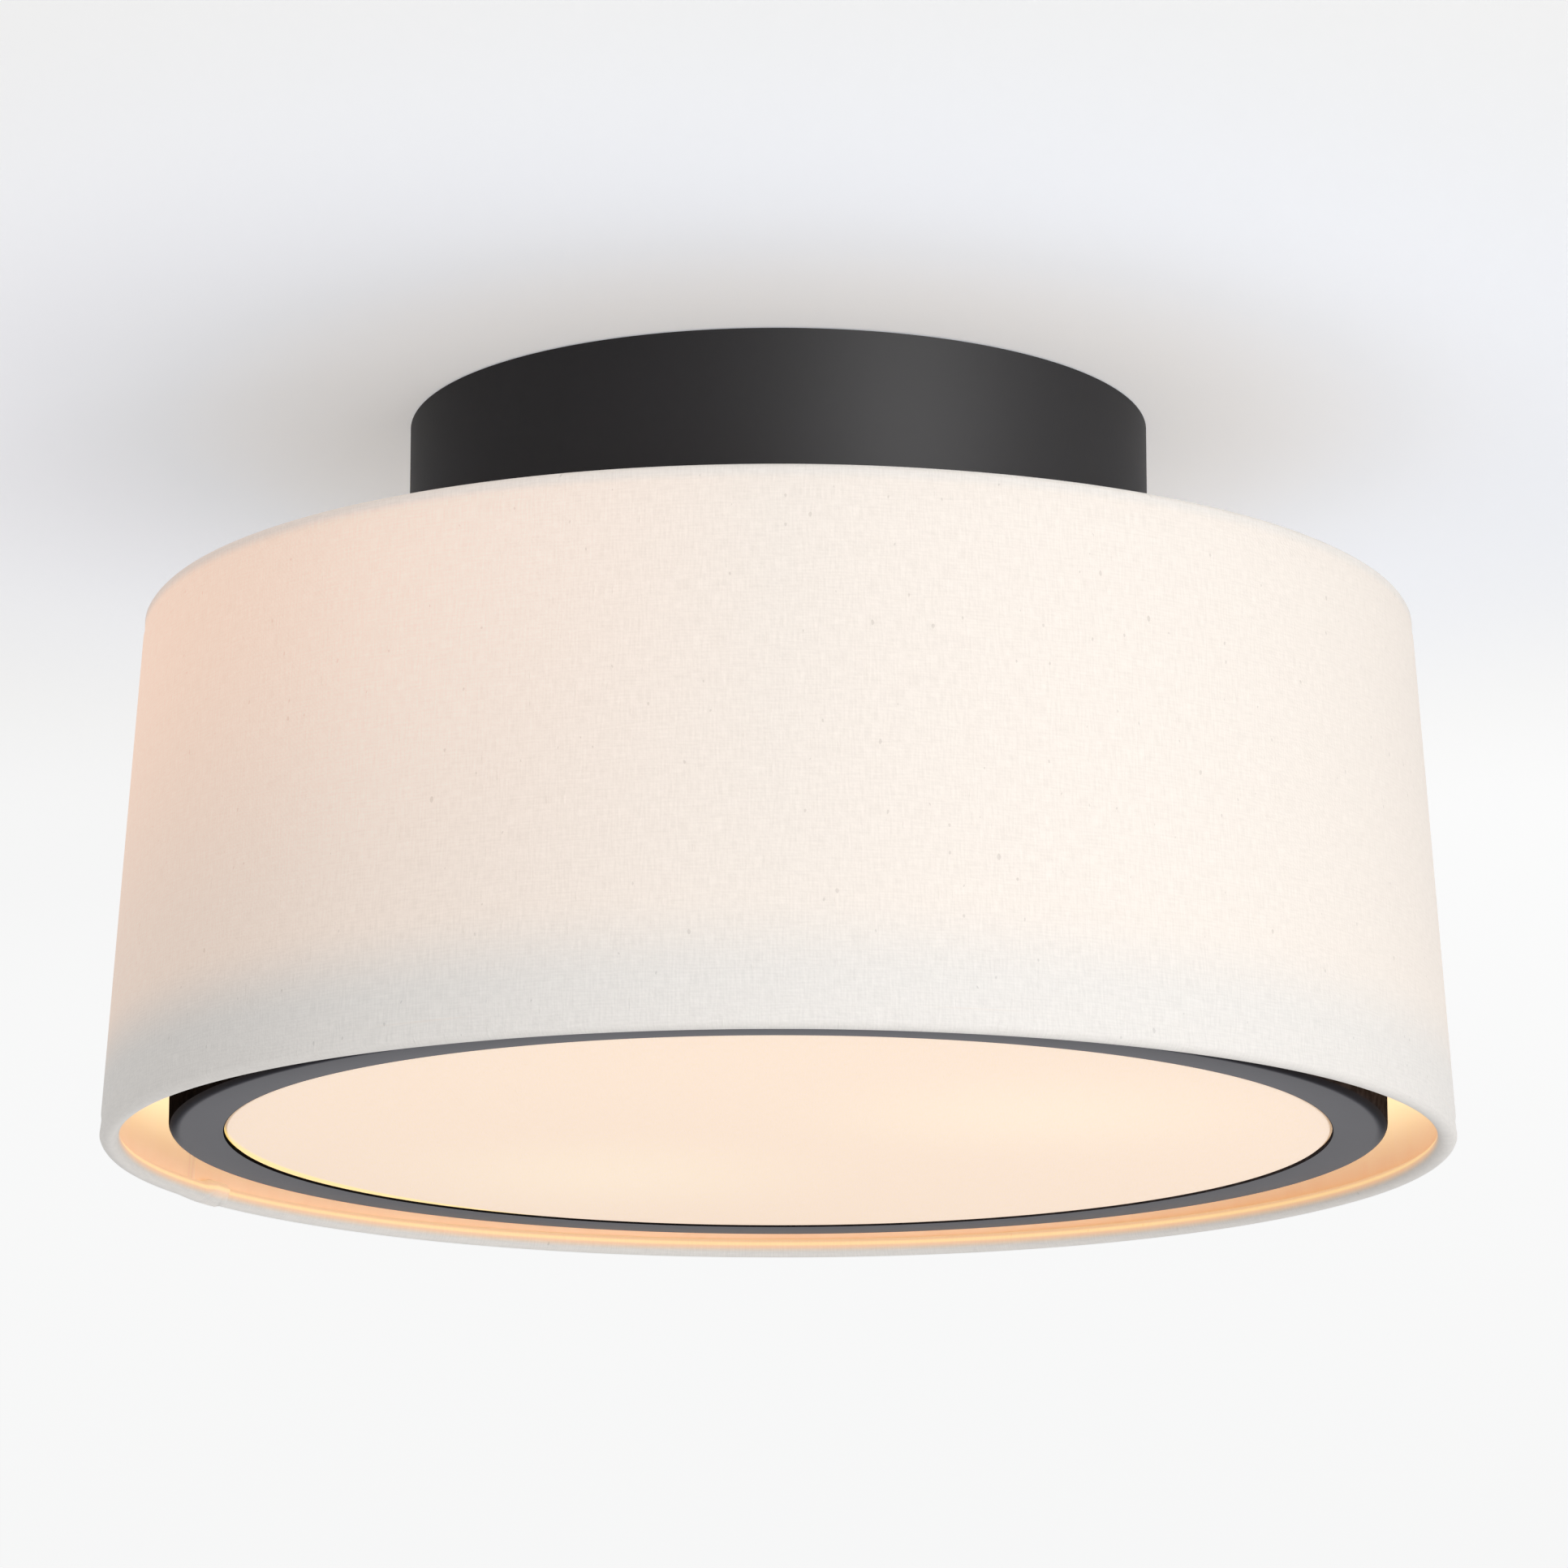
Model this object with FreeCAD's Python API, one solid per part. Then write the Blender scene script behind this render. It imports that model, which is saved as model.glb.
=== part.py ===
import FreeCAD, Part
import math
import os

# A 15 inch drum flush mount ceiling light, in millimetres. The origin is the centre of the ceiling plane,
# +Z is up, and the light hangs below it. The two lamps lie along one level line through the axis.

# Overall form
SHADE_TOP_R = 181.1
SHADE_BOTTOM_R = 190.5
SHADE_TOP_Z = -59.2
SHADE_BOTTOM_Z = -210.2
CANOPY_R = 106.1
CANOPY_DEPTH = 66.0
RING_OUTER_R = 171.3
RING_OPENING_R = 155.8
RING_TOP_OPENING_R = 160.5
RING_BOTTOM_Z = -206.4
RING_HEIGHT = 20.0
DIFFUSER_R = 158.0

# Sheet, cloth and wire
CANOPY_WALL = 1.2
CANOPY_CORNER_R = 5.0
RING_WALL = 1.2
RING_CORNER_R = 2.0
HEM_R = 2.7
HEM_WALL = 0.9
LINEN = 0.5
LINER = 0.5
HOOP_WIRE_R = 1.78
SPOKE_WIRE_R = 1.5
DIFFUSER_LINEN = 0.5
DIFFUSER_ACRYLIC = 2.5
LEAD_R = 0.9

# Fastening to the ceiling
STRAP_LENGTH = 110.0
STRAP_WIDTH = 22.0
STRAP_THICKNESS = 2.0
STRAP_CORNER_R = 4.0
BOX_SCREW_SPACING = 88.9
BOX_SLOT_LENGTH = 11.0
BOX_SLOT_R = 2.3
STUD_SPACING = 69.85
STUD_R = 2.08
STUD_LENGTH = 76.5
STUD_CHAMFER = 0.6
STUD_CLEARANCE = 0.4
LOCK_NUT_FLATS = 8.7
LOCK_NUT_HEIGHT = 3.2
GROUND_HEAD_FLATS = 6.4
GROUND_HEAD_HEIGHT = 2.2
GROUND_FLANGE_R = 4.2
GROUND_FLANGE_HEIGHT = 0.8
GROUND_X = 14.0
GROUND_Y = 14.0
CANOPY_GROUND_X = 42.0
CAP_NUT_R = 5.5
CAP_NUT_LENGTH = 14.0
CAP_NUT_ROUND_R = 3.5
CAP_NUT_ROOM = 0.5
FLUTES = 12
FLUTE_R = 0.6
FLUTE_CENTRE_R = 5.7
PAD_R = 97.0
PAD_BORE_R = 14.0
PAD_THICKNESS = 4.0
PAD_STUD_HOLE_R = 6.0
PAD_SCREW_HOLE_R = 8.0

# The stack on the hollow nipple, from the canopy plate down
NIPPLE_R = 4.83
NIPPLE_BORE_R = 3.4
NIPPLE_TOP_Z = -57.0
NIPPLE_BOTTOM_Z = -80.0
NIPPLE_HOLE_R = 5.1
BUSHING_R = 6.0
BUSHING_HEIGHT = 1.5
BUSHING_LINING = 0.3
SPIDER_WASHER_R = 20.0
SPIDER_WASHER_THICKNESS = 2.0
CARRIER_THICKNESS = 2.0
BRACKET_THICKNESS = 1.6
LOCK_WASHER_THICKNESS = 1.2
LOCK_WASHER_R = 8.6
WASHER_TEETH = 12
WASHER_NOTCH_R = 0.8
NUT_THICKNESS = 5.0
NUT_FLATS = 14.3

# Arms and spokes stand clear of the lamp line
LAMP_ANGLE = -39.0
ARM_ANGLES = [51.0, 171.0, 291.0]
SPOKE_ANGLES = [111.0, 231.0, 351.0]
SPOKE_START_R = 18.0
SPOKE_BEND_R = 128.0
SPOKE_WELD = 0.4
SPOKE_CLEARANCE = 0.15
ARM_WIDTH = 9.0
ARM_BEND_R = 3.0
HUB_R = 16.0
LEG_INNER_R = 159.3
MAGNET_R = 5.0
MAGNET_HEIGHT = 4.0
MAGNET_CENTRE_R = 166.0

# Sockets, along each lamp's own axis, measured from the light's axis
LAMP_Z = -105.0
BRACKET_HALF = 13.5
BRACKET_HALF_WIDTH = 12.0
BRACKET_BOTTOM_Z = -122.0
BRACKET_FOLD_R = 2.4
LEAD_CLEARANCE = 0.7
SOCKET_LENGTH = 36.5
SOCKET_FLOOR = 6.0
SOCKET_BACK_R = 15.8
SOCKET_FRONT_R = 18.0
SOCKET_BORE_R = 14.1
SOCKET_SCREW_OFFSET = 12.0
SOCKET_SCREW_R = 1.5
SCREW_HEAD_R = 3.0
SCREW_HEAD_HEIGHT = 2.0
SCREW_HEAD_ROUND_R = 1.4
SCREW_BITE = 5.0
SOCKET_BACK_LENGTH = 9.0
SOCKET_FLARE_END = 13.0
SOCKET_LIP_R = 1.2
SHELL_WALL = 0.55
SHELL_LENGTH = 26.0
SHELL_FLOOR_R = 8.0
BUTTON_R = 4.2
BUTTON_THICKNESS = 0.8
BUTTON_STEM_R = 2.5
BUTTON_GAP = 0.2

# Lamps, along the axis from the tip contact outwards
TIP_START = 22.0
TIP_R = 4.6
TIP_HEIGHT = 1.2
TIP_CROWN = 0.35
TIP_CROWN_R = 3.0
INSULATOR_TIP_R = 5.0
INSULATOR_SHOULDER_R = 10.6
INSULATOR_SHOULDER = 1.2
CAP_CREST_R = 13.1
CAP_ROOT_R = 12.2
THREAD_PITCH = 3.6286
THREAD_RIDGES = 5
CAP_START = 6.0
CAP_END = 26.0
CAP_WALL = 0.6
CAP_PLAIN_START = 1.0
RIDGE_SHARE = 0.9
HOUSING_NECK_R = 13.5
HOUSING_END = 60.0
HOUSING_RIM_R = 26.5
HOUSING_NECK_LENGTH = 3.5
HOUSING_HOLLOW = 1.2
GLOBE_R = 30.0
GLOBE_CENTRE = 78.0
LAMP_WALL = 1.4
DOME_SHOULDER = 8.6
DOME_SHOULDER_IN = 0.95
BOARD_DEPTH = 0.6
BOARD_THICKNESS = 1.6
BOARD_CLEARANCE = 1.5
CHIPS = 8
CHIP_SIZE = 3.0
CHIP_HEIGHT = 0.7
CHIP_CENTRE_R = 14.5

# Leads through the nipple
LEAD_OFFSET = 1.4
LEAD_EXIT_V = 5.0
LEAD_EXIT_Z = -98.0
LEAD_TURN_Z = -46.0
LEAD_BEND_U = 6.0
LEAD_BEND_RISE = 8.0
LEAD_SPREAD = 0.3
GROUND_EYE_GAP = 1.9
CONNECTOR_V = 24.0
CONNECTOR_MOUTH_Z = -34.0
CONNECTOR_HEIGHT = 20.0
CONNECTOR_R = 5.5
CONNECTOR_TIP_R = 3.2
CONNECTOR_CAVITY = 6.0
CONNECTOR_WALL = 1.0

# Levels worked out from the above
CANOPY_FLOOR_Z = -CANOPY_DEPTH + CANOPY_WALL
SPIDER_BOTTOM_Z = -CANOPY_DEPTH - SPIDER_WASHER_THICKNESS
CARRIER_BOTTOM_Z = SPIDER_BOTTOM_Z - CARRIER_THICKNESS
BRACKET_PLATE_Z = CARRIER_BOTTOM_Z - BRACKET_THICKNESS
LOWER_NUT_TOP_Z = BRACKET_PLATE_Z - LOCK_WASHER_THICKNESS
RING_TOP_Z = RING_BOTTOM_Z + RING_HEIGHT
FOOT_Z = RING_TOP_Z + MAGNET_HEIGHT
LINEN_Z = RING_BOTTOM_Z + RING_WALL
ACRYLIC_Z = LINEN_Z + DIFFUSER_LINEN

V = FreeCAD.Vector
ORIGIN = V(0, 0, 0)
X_AXIS = V(1, 0, 0)
Y_AXIS = V(0, 1, 0)
Z_AXIS = V(0, 0, 1)


def line(start, end):
    """A straight edge between two (radius, height) points."""
    return Part.LineSegment(V(start[0], 0, start[1]), V(end[0], 0, end[1])).toShape()


def arc(start, middle, end):
    """A round edge through three (radius, height) points."""
    points = [V(p[0], 0, p[1]) for p in (start, middle, end)]
    return Part.Arc(points[0], points[1], points[2]).toShape()


def corner(centre, radius, first, last):
    """A round edge about a (radius, height) centre, between two angles in degrees."""
    angles = [math.radians(a) for a in (first, (first + last) / 2, last)]
    points = [(centre[0] + radius * math.cos(a), centre[1] + radius * math.sin(a)) for a in angles]
    return arc(points[0], points[1], points[2])


def closed_face(edges):
    return Part.Face(Part.Wire(edges))


def polygon_face(points):
    return closed_face([line(p, q) for p, q in zip(points, points[1:] + points[:1])])


def turned(face):
    """A solid turned about the vertical axis."""
    return face.revolve(ORIGIN, Z_AXIS, 360)


def cylinder(radius, low, high, x=0.0, y=0.0):
    return Part.makeCylinder(radius, high - low, V(x, y, low), Z_AXIS)


def washer(outer, inner, low, high):
    return cylinder(outer, low, high).cut(cylinder(inner, low, high))


def spun(shape, angle):
    """A copy turned about the vertical axis."""
    copy = shape.copy()
    copy.rotate(ORIGIN, Z_AXIS, angle)
    return copy


def along_lamp(shape, angle):
    """Lay a piece that is built upright on the lamp line, so that its +Z points outwards."""
    copy = shape.copy()
    copy.rotate(ORIGIN, Y_AXIS, 90)
    copy.rotate(ORIGIN, Z_AXIS, angle)
    copy.translate(V(0, 0, LAMP_Z))
    return copy


def full_turn(count):
    """Evenly spaced angles of one turn, in radians."""
    return [2 * math.pi * i / count for i in range(count)]


def hex_prism(flats, low, high):
    radius = flats / math.sqrt(3)
    points = [V(radius * math.cos(angle), radius * math.sin(angle), low) for angle in full_turn(6)]
    return Part.Face(Part.makePolygon(points + points[:1])).extrude(V(0, 0, high - low))


def ceiling_crossbar():
    """Flat steel strap across the outlet box, with a slot for each box screw."""
    strap = Part.makeBox(STRAP_WIDTH, STRAP_LENGTH, STRAP_THICKNESS,
                         V(-STRAP_WIDTH / 2, -STRAP_LENGTH / 2, -STRAP_THICKNESS))
    corners = [e for e in strap.Edges if abs(e.tangentAt(e.FirstParameter).z) > 0.9]
    strap = strap.makeFillet(STRAP_CORNER_R, corners)
    half = BOX_SLOT_LENGTH / 2 - BOX_SLOT_R
    for side in (-1, 1):
        y = side * BOX_SCREW_SPACING / 2
        strap = strap.cut(Part.makeBox(2 * BOX_SLOT_R, 2 * half, STRAP_THICKNESS,
                                       V(-BOX_SLOT_R, y - half, -STRAP_THICKNESS)))
        strap = strap.cut(cylinder(BOX_SLOT_R, -STRAP_THICKNESS, 0, 0, y - half))
        strap = strap.cut(cylinder(BOX_SLOT_R, -STRAP_THICKNESS, 0, 0, y + half))
        strap = strap.cut(cylinder(STUD_R, -STRAP_THICKNESS, 0, 0, side * STUD_SPACING / 2))
    return strap.cut(cylinder(STUD_R, -STRAP_THICKNESS, 0, 0, GROUND_Y))


def crossbar_studs():
    """Two threaded studs that hang from the strap and come out through the canopy."""
    studs = []
    for side in (-1, 1):
        stud = cylinder(STUD_R, -STUD_LENGTH, 0, 0, side * STUD_SPACING / 2)
        tip = [e for e in stud.Edges if e.BoundBox.ZMax < -STUD_LENGTH + 0.01]
        studs.append(stud.makeChamfer(STUD_CHAMFER, tip))
    return Part.makeCompound(studs)


def on_studs(shape):
    """Two copies of a shape, one on the axis of each stud."""
    copies = []
    for side in (-1, 1):
        placed = shape.copy()
        placed.translate(V(0, side * STUD_SPACING / 2, 0))
        copies.append(placed)
    return Part.makeCompound(copies)


def stud_lock_nuts():
    """A hex nut that locks each stud against the strap."""
    bottom = -STRAP_THICKNESS - LOCK_NUT_HEIGHT
    nut = hex_prism(LOCK_NUT_FLATS, bottom, -STRAP_THICKNESS)
    return on_studs(nut.cut(cylinder(STUD_R, bottom, -STRAP_THICKNESS)))


def ground_screws():
    """Green hex washer head screws, one in the strap and one in the canopy plate."""
    head = hex_prism(GROUND_HEAD_FLATS, -GROUND_HEAD_HEIGHT, 0)
    head = head.fuse(cylinder(GROUND_FLANGE_R, -GROUND_FLANGE_HEIGHT, 0))
    strap_screw = head.fuse(cylinder(STUD_R, 0, STRAP_THICKNESS))
    plate_screw = strap_screw.copy()
    strap_screw.translate(V(0, GROUND_Y, -STRAP_THICKNESS))
    plate_screw.rotate(ORIGIN, X_AXIS, 180)
    plate_screw.translate(V(CANOPY_GROUND_X, -GROUND_Y, CANOPY_FLOOR_Z))
    return Part.makeCompound([strap_screw, plate_screw])


def canopy():
    """Spun steel pan, open against the ceiling, with a rounded lower edge."""
    bottom = -CANOPY_DEPTH
    inner = CANOPY_R - CANOPY_WALL
    bend = (CANOPY_R - CANOPY_CORNER_R, bottom + CANOPY_CORNER_R)
    inside_r = CANOPY_CORNER_R - CANOPY_WALL
    pan = turned(closed_face([
        line((NIPPLE_HOLE_R, bottom), (bend[0], bottom)),
        corner(bend, CANOPY_CORNER_R, -90, 0),
        line((CANOPY_R, bend[1]), (CANOPY_R, 0)),
        line((CANOPY_R, 0), (inner, 0)),
        line((inner, 0), (inner, bend[1])),
        corner(bend, inside_r, 0, -90),
        line((bend[0], CANOPY_FLOOR_Z), (NIPPLE_HOLE_R, CANOPY_FLOOR_Z)),
        line((NIPPLE_HOLE_R, CANOPY_FLOOR_Z), (NIPPLE_HOLE_R, bottom)),
    ]))
    for side in (-1, 1):
        pan = pan.cut(cylinder(STUD_R + STUD_CLEARANCE, bottom, CANOPY_FLOOR_Z, 0, side * STUD_SPACING / 2))
    return pan.cut(cylinder(STUD_R, bottom, CANOPY_FLOOR_Z, CANOPY_GROUND_X, -GROUND_Y))


def canopy_cap_nuts():
    """Fluted cap nuts turned onto the studs from below, which hold the canopy up."""
    top = -CANOPY_DEPTH
    bottom = top - CAP_NUT_LENGTH
    shoulder = bottom + CAP_NUT_ROUND_R
    round_r = CAP_NUT_R - CAP_NUT_ROUND_R
    roof = -STUD_LENGTH - CAP_NUT_ROOM
    nut = turned(closed_face([
        line((STUD_R, top), (CAP_NUT_R, top)),
        line((CAP_NUT_R, top), (CAP_NUT_R, shoulder)),
        corner((round_r, shoulder), CAP_NUT_ROUND_R, 0, -90),
        line((round_r, bottom), (0, bottom)),
        line((0, bottom), (0, roof)),
        line((0, roof), (STUD_R, roof)),
        line((STUD_R, roof), (STUD_R, top)),
    ]))
    for angle in full_turn(FLUTES):
        nut = nut.cut(cylinder(FLUTE_R, shoulder + 2 * FLUTE_R, top - 2 * FLUTE_R,
                               FLUTE_CENTRE_R * math.cos(angle), FLUTE_CENTRE_R * math.sin(angle)))
    return on_studs(nut)


def insulation_pad():
    """Glass fibre pad on the canopy's floor, cut out round what comes through it."""
    top = CANOPY_FLOOR_Z + PAD_THICKNESS
    pad = washer(PAD_R, PAD_BORE_R, CANOPY_FLOOR_Z, top)
    for side in (-1, 1):
        pad = pad.cut(cylinder(PAD_STUD_HOLE_R, CANOPY_FLOOR_Z, top, 0, side * STUD_SPACING / 2))
    return pad.cut(cylinder(PAD_SCREW_HOLE_R, CANOPY_FLOOR_Z, top, CANOPY_GROUND_X, -GROUND_Y))


def center_nipple():
    """Hollow threaded tube that clamps the whole stack and takes the leads through."""
    return washer(NIPPLE_R, NIPPLE_BORE_R, NIPPLE_BOTTOM_Z, NIPPLE_TOP_Z)


def nipple_bushings():
    """Plastic collars on both ends of the nipple, so that its edges don't cut the leads."""
    bore = NIPPLE_BORE_R - BUSHING_LINING
    upper = washer(BUSHING_R, bore, NIPPLE_TOP_Z, NIPPLE_TOP_Z + BUSHING_HEIGHT)
    lower = washer(BUSHING_R, bore, NIPPLE_BOTTOM_Z - BUSHING_HEIGHT, NIPPLE_BOTTOM_Z)
    return Part.makeCompound([upper, lower])


def nipple_nut(top):
    return hex_prism(NUT_FLATS, top - NUT_THICKNESS, top).cut(cylinder(NIPPLE_R, top - NUT_THICKNESS, top))


def lock_washer(top):
    """Flat washer with a ring of short teeth round its rim."""
    bottom = top - LOCK_WASHER_THICKNESS
    ring = washer(LOCK_WASHER_R, NIPPLE_R, bottom, top)
    for angle in full_turn(WASHER_TEETH):
        ring = ring.cut(cylinder(WASHER_NOTCH_R, bottom, top,
                                 LOCK_WASHER_R * math.cos(angle), LOCK_WASHER_R * math.sin(angle)))
    return ring


def hem_centres():
    """The centres of the two wire hoops, as (radius, height), upper first."""
    upper = (SHADE_TOP_R - HEM_R, SHADE_TOP_Z - HEM_R)
    lower = (SHADE_BOTTOM_R - HEM_R, SHADE_BOTTOM_Z + HEM_R)
    return upper, lower


def from_hoop(centre, out, down):
    """A section point, given by its distance out from and down along the line between the hoops."""
    upper, lower = hem_centres()
    run = math.hypot(lower[0] - upper[0], lower[1] - upper[1])
    along = ((lower[0] - upper[0]) / run, (lower[1] - upper[1]) / run)
    return (centre[0] - along[1] * out + along[0] * down, centre[1] + along[0] * out + along[1] * down)


def hem_disc(centre, radius):
    return Part.Face(Part.Wire(Part.makeCircle(radius, V(centre[0], 0, centre[1]), Y_AXIS)))


def shade_fabric():
    """Linen skin, rolled round the hoops at both rims and notched where the spokes come in."""
    upper, lower = hem_centres()
    inside = HEM_R - LINEN
    reach = math.sqrt(HEM_R ** 2 - inside ** 2)
    round_half = (2 * math.pi - math.atan2(reach, inside)) / 2
    far_out = HEM_R * math.cos(round_half)
    far_down = HEM_R * math.sin(round_half)
    top_outside = from_hoop(upper, HEM_R, 0)
    top_inside = from_hoop(upper, inside, reach)
    bottom_outside = from_hoop(lower, HEM_R, 0)
    bottom_inside = from_hoop(lower, inside, -reach)
    section = closed_face([
        line(top_outside, bottom_outside),
        arc(bottom_outside, from_hoop(lower, far_out, far_down), bottom_inside),
        line(bottom_inside, top_inside),
        arc(top_inside, from_hoop(upper, far_out, -far_down), top_outside),
    ])
    for centre in (upper, lower):
        section = section.cut(hem_disc(centre, HEM_R - HEM_WALL))
    skin = turned(section.Faces[0])
    bend, end = spoke_rise()
    notch = Part.makeCylinder(SPOKE_WIRE_R + SPOKE_CLEARANCE, (end - bend).Length, bend, end - bend)
    for angle in SPOKE_ANGLES:
        skin = skin.cut(spun(notch, angle))
    return skin


def shade_liner():
    """Stiff styrene sheet that the linen is glued to, from hem to hem."""
    upper, lower = hem_centres()
    outside = HEM_R - LINEN
    inside = outside - LINER
    section = polygon_face([from_hoop(upper, outside, 0), from_hoop(lower, outside, 0),
                            from_hoop(lower, inside, 0), from_hoop(upper, inside, 0)])
    for centre in (upper, lower):
        section = section.cut(hem_disc(centre, HEM_R))
    return turned(section.Faces[0])


def shade_hoop(centre):
    return Part.makeTorus(centre[0], HOOP_WIRE_R, V(0, 0, centre[1]), Z_AXIS)


def spoke_rise():
    """Where a spoke turns up, and where it meets the top hoop."""
    upper = hem_centres()[0]
    bend = V(SPOKE_BEND_R, 0, SPIDER_BOTTOM_Z - SPOKE_WIRE_R)
    return bend, V(upper[0] - HOOP_WIRE_R + SPOKE_WELD, 0, upper[1])


def spider_spokes():
    """Three wires from the hub washer, level under the canopy and then up to the top hoop."""
    bend, end = spoke_rise()
    spoke = rounded_tube([V(SPOKE_START_R, 0, bend.z), bend, end], SPOKE_WIRE_R)
    return Part.makeCompound([spun(spoke, angle) for angle in SPOKE_ANGLES])


def ring_carrier():
    """Steel plate with three arms bent down to the diffuser ring, each with a foot for a magnet."""
    outer = LEG_INNER_R + CARRIER_THICKNESS
    bend = (outer - ARM_BEND_R, SPIDER_BOTTOM_Z - ARM_BEND_R)
    foot_end = MAGNET_CENTRE_R + MAGNET_R
    foot_top = FOOT_Z + CARRIER_THICKNESS
    inside_r = ARM_BEND_R - CARRIER_THICKNESS
    section = closed_face([
        line((0, SPIDER_BOTTOM_Z), (bend[0], SPIDER_BOTTOM_Z)),
        corner(bend, ARM_BEND_R, 90, 0),
        line((outer, bend[1]), (outer, foot_top)),
        line((outer, foot_top), (foot_end, foot_top)),
        line((foot_end, foot_top), (foot_end, FOOT_Z)),
        line((foot_end, FOOT_Z), (LEG_INNER_R, FOOT_Z)),
        line((LEG_INNER_R, FOOT_Z), (LEG_INNER_R, bend[1])),
        corner(bend, inside_r, 0, 90),
        line((bend[0], CARRIER_BOTTOM_Z), (0, CARRIER_BOTTOM_Z)),
        line((0, CARRIER_BOTTOM_Z), (0, SPIDER_BOTTOM_Z)),
    ])
    section.translate(V(0, -ARM_WIDTH / 2, 0))
    arm = section.extrude(V(0, ARM_WIDTH, 0))
    plate = cylinder(HUB_R, CARRIER_BOTTOM_Z, SPIDER_BOTTOM_Z)
    for angle in ARM_ANGLES:
        plate = plate.fuse(spun(arm, angle))
    return plate.cut(cylinder(NIPPLE_HOLE_R, CARRIER_BOTTOM_Z, SPIDER_BOTTOM_Z)).removeSplitter()


def carrier_magnets():
    """A round magnet under each foot, which grips the ring's upper flange."""
    magnet = cylinder(MAGNET_R, RING_TOP_Z, FOOT_Z, MAGNET_CENTRE_R, 0)
    return Part.makeCompound([spun(magnet, angle) for angle in ARM_ANGLES])


def socket_bracket():
    """Folded steel strip on the nipple, with a leg for each socket."""
    height = CARRIER_BOTTOM_Z - BRACKET_BOTTOM_Z
    outside = Part.makeBox(2 * BRACKET_HALF, 2 * BRACKET_HALF_WIDTH, height,
                           V(-BRACKET_HALF, -BRACKET_HALF_WIDTH, BRACKET_BOTTOM_Z))
    folds = [e for e in outside.Edges
             if e.BoundBox.ZMin > CARRIER_BOTTOM_Z - 0.1 and abs(e.tangentAt(e.FirstParameter).y) > 0.9]
    outside = outside.makeFillet(BRACKET_FOLD_R, folds)
    gap = BRACKET_HALF - BRACKET_THICKNESS
    inside = Part.makeBox(2 * gap, 2 * BRACKET_HALF_WIDTH, BRACKET_PLATE_Z - BRACKET_BOTTOM_Z,
                          V(-gap, -BRACKET_HALF_WIDTH, BRACKET_BOTTOM_Z))
    bracket = outside.cut(inside).cut(cylinder(NIPPLE_HOLE_R, BRACKET_PLATE_Z, CARRIER_BOTTOM_Z))
    across = V(-BRACKET_HALF, 0, 0)
    holes = [(0, LAMP_Z + side * SOCKET_SCREW_OFFSET, SOCKET_SCREW_R) for side in (-1, 1)]
    holes += [(side * LEAD_EXIT_V, LEAD_EXIT_Z, LEAD_R + LEAD_CLEARANCE) for side in (-1, 1)]
    for y, z, radius in holes:
        bracket = bracket.cut(Part.makeCylinder(radius, 2 * BRACKET_HALF, across + V(0, y, z), X_AXIS))
    return spun(bracket, LAMP_ANGLE)


def socket_screws():
    """Pan head screws, two through each leg into the back of a socket."""
    seat = BRACKET_HALF - BRACKET_THICKNESS
    top = seat - SCREW_HEAD_HEIGHT
    end = BRACKET_HALF + SCREW_BITE
    crown = (SCREW_HEAD_R - SCREW_HEAD_ROUND_R, top + SCREW_HEAD_ROUND_R)
    screw = turned(closed_face([
        line((0, top), (crown[0], top)),
        corner(crown, SCREW_HEAD_ROUND_R, -90, 0),
        line((SCREW_HEAD_R, crown[1]), (SCREW_HEAD_R, seat)),
        line((SCREW_HEAD_R, seat), (SOCKET_SCREW_R, seat)),
        line((SOCKET_SCREW_R, seat), (SOCKET_SCREW_R, end)),
        line((SOCKET_SCREW_R, end), (0, end)),
        line((0, end), (0, top)),
    ]))
    screws = []
    for angle in (LAMP_ANGLE, LAMP_ANGLE + 180):
        for side in (-1, 1):
            placed = along_lamp(screw, angle)
            placed.translate(V(0, 0, side * SOCKET_SCREW_OFFSET))
            screws.append(placed)
    return Part.makeCompound(screws)


def socket_body(angle):
    """Moulded socket, closed at the back and flared to the mouth."""
    back = BRACKET_HALF
    front = BRACKET_HALF + SOCKET_LENGTH
    floor = BRACKET_HALF + SOCKET_FLOOR
    flare_start = back + SOCKET_BACK_LENGTH
    flare_end = back + SOCKET_FLARE_END
    lip = (SOCKET_FRONT_R - SOCKET_LIP_R, front - SOCKET_LIP_R)
    body = turned(closed_face([
        line((0, back), (SOCKET_BACK_R, back)),
        line((SOCKET_BACK_R, back), (SOCKET_BACK_R, flare_start)),
        line((SOCKET_BACK_R, flare_start), (SOCKET_FRONT_R, flare_end)),
        line((SOCKET_FRONT_R, flare_end), (SOCKET_FRONT_R, lip[1])),
        corner(lip, SOCKET_LIP_R, 0, 90),
        line((lip[0], front), (SOCKET_BORE_R, front)),
        line((SOCKET_BORE_R, front), (SOCKET_BORE_R, floor)),
        line((SOCKET_BORE_R, floor), (0, floor)),
        line((0, floor), (0, back)),
    ]))
    for side in (-1, 1):
        body = body.cut(cylinder(SOCKET_SCREW_R, back, back + SCREW_BITE, side * SOCKET_SCREW_OFFSET, 0))
    return along_lamp(body, angle)


def socket_shell(angle):
    """Brass sleeve that takes the lamp's cap, with a lip on the socket's floor."""
    floor = BRACKET_HALF + SOCKET_FLOOR
    end = floor + SHELL_LENGTH
    inner = SOCKET_BORE_R - SHELL_WALL
    return along_lamp(turned(polygon_face([
        (SHELL_FLOOR_R, floor), (SOCKET_BORE_R, floor), (SOCKET_BORE_R, end), (inner, end),
        (inner, floor + SHELL_WALL), (SHELL_FLOOR_R, floor + SHELL_WALL),
    ])), angle)


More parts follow.
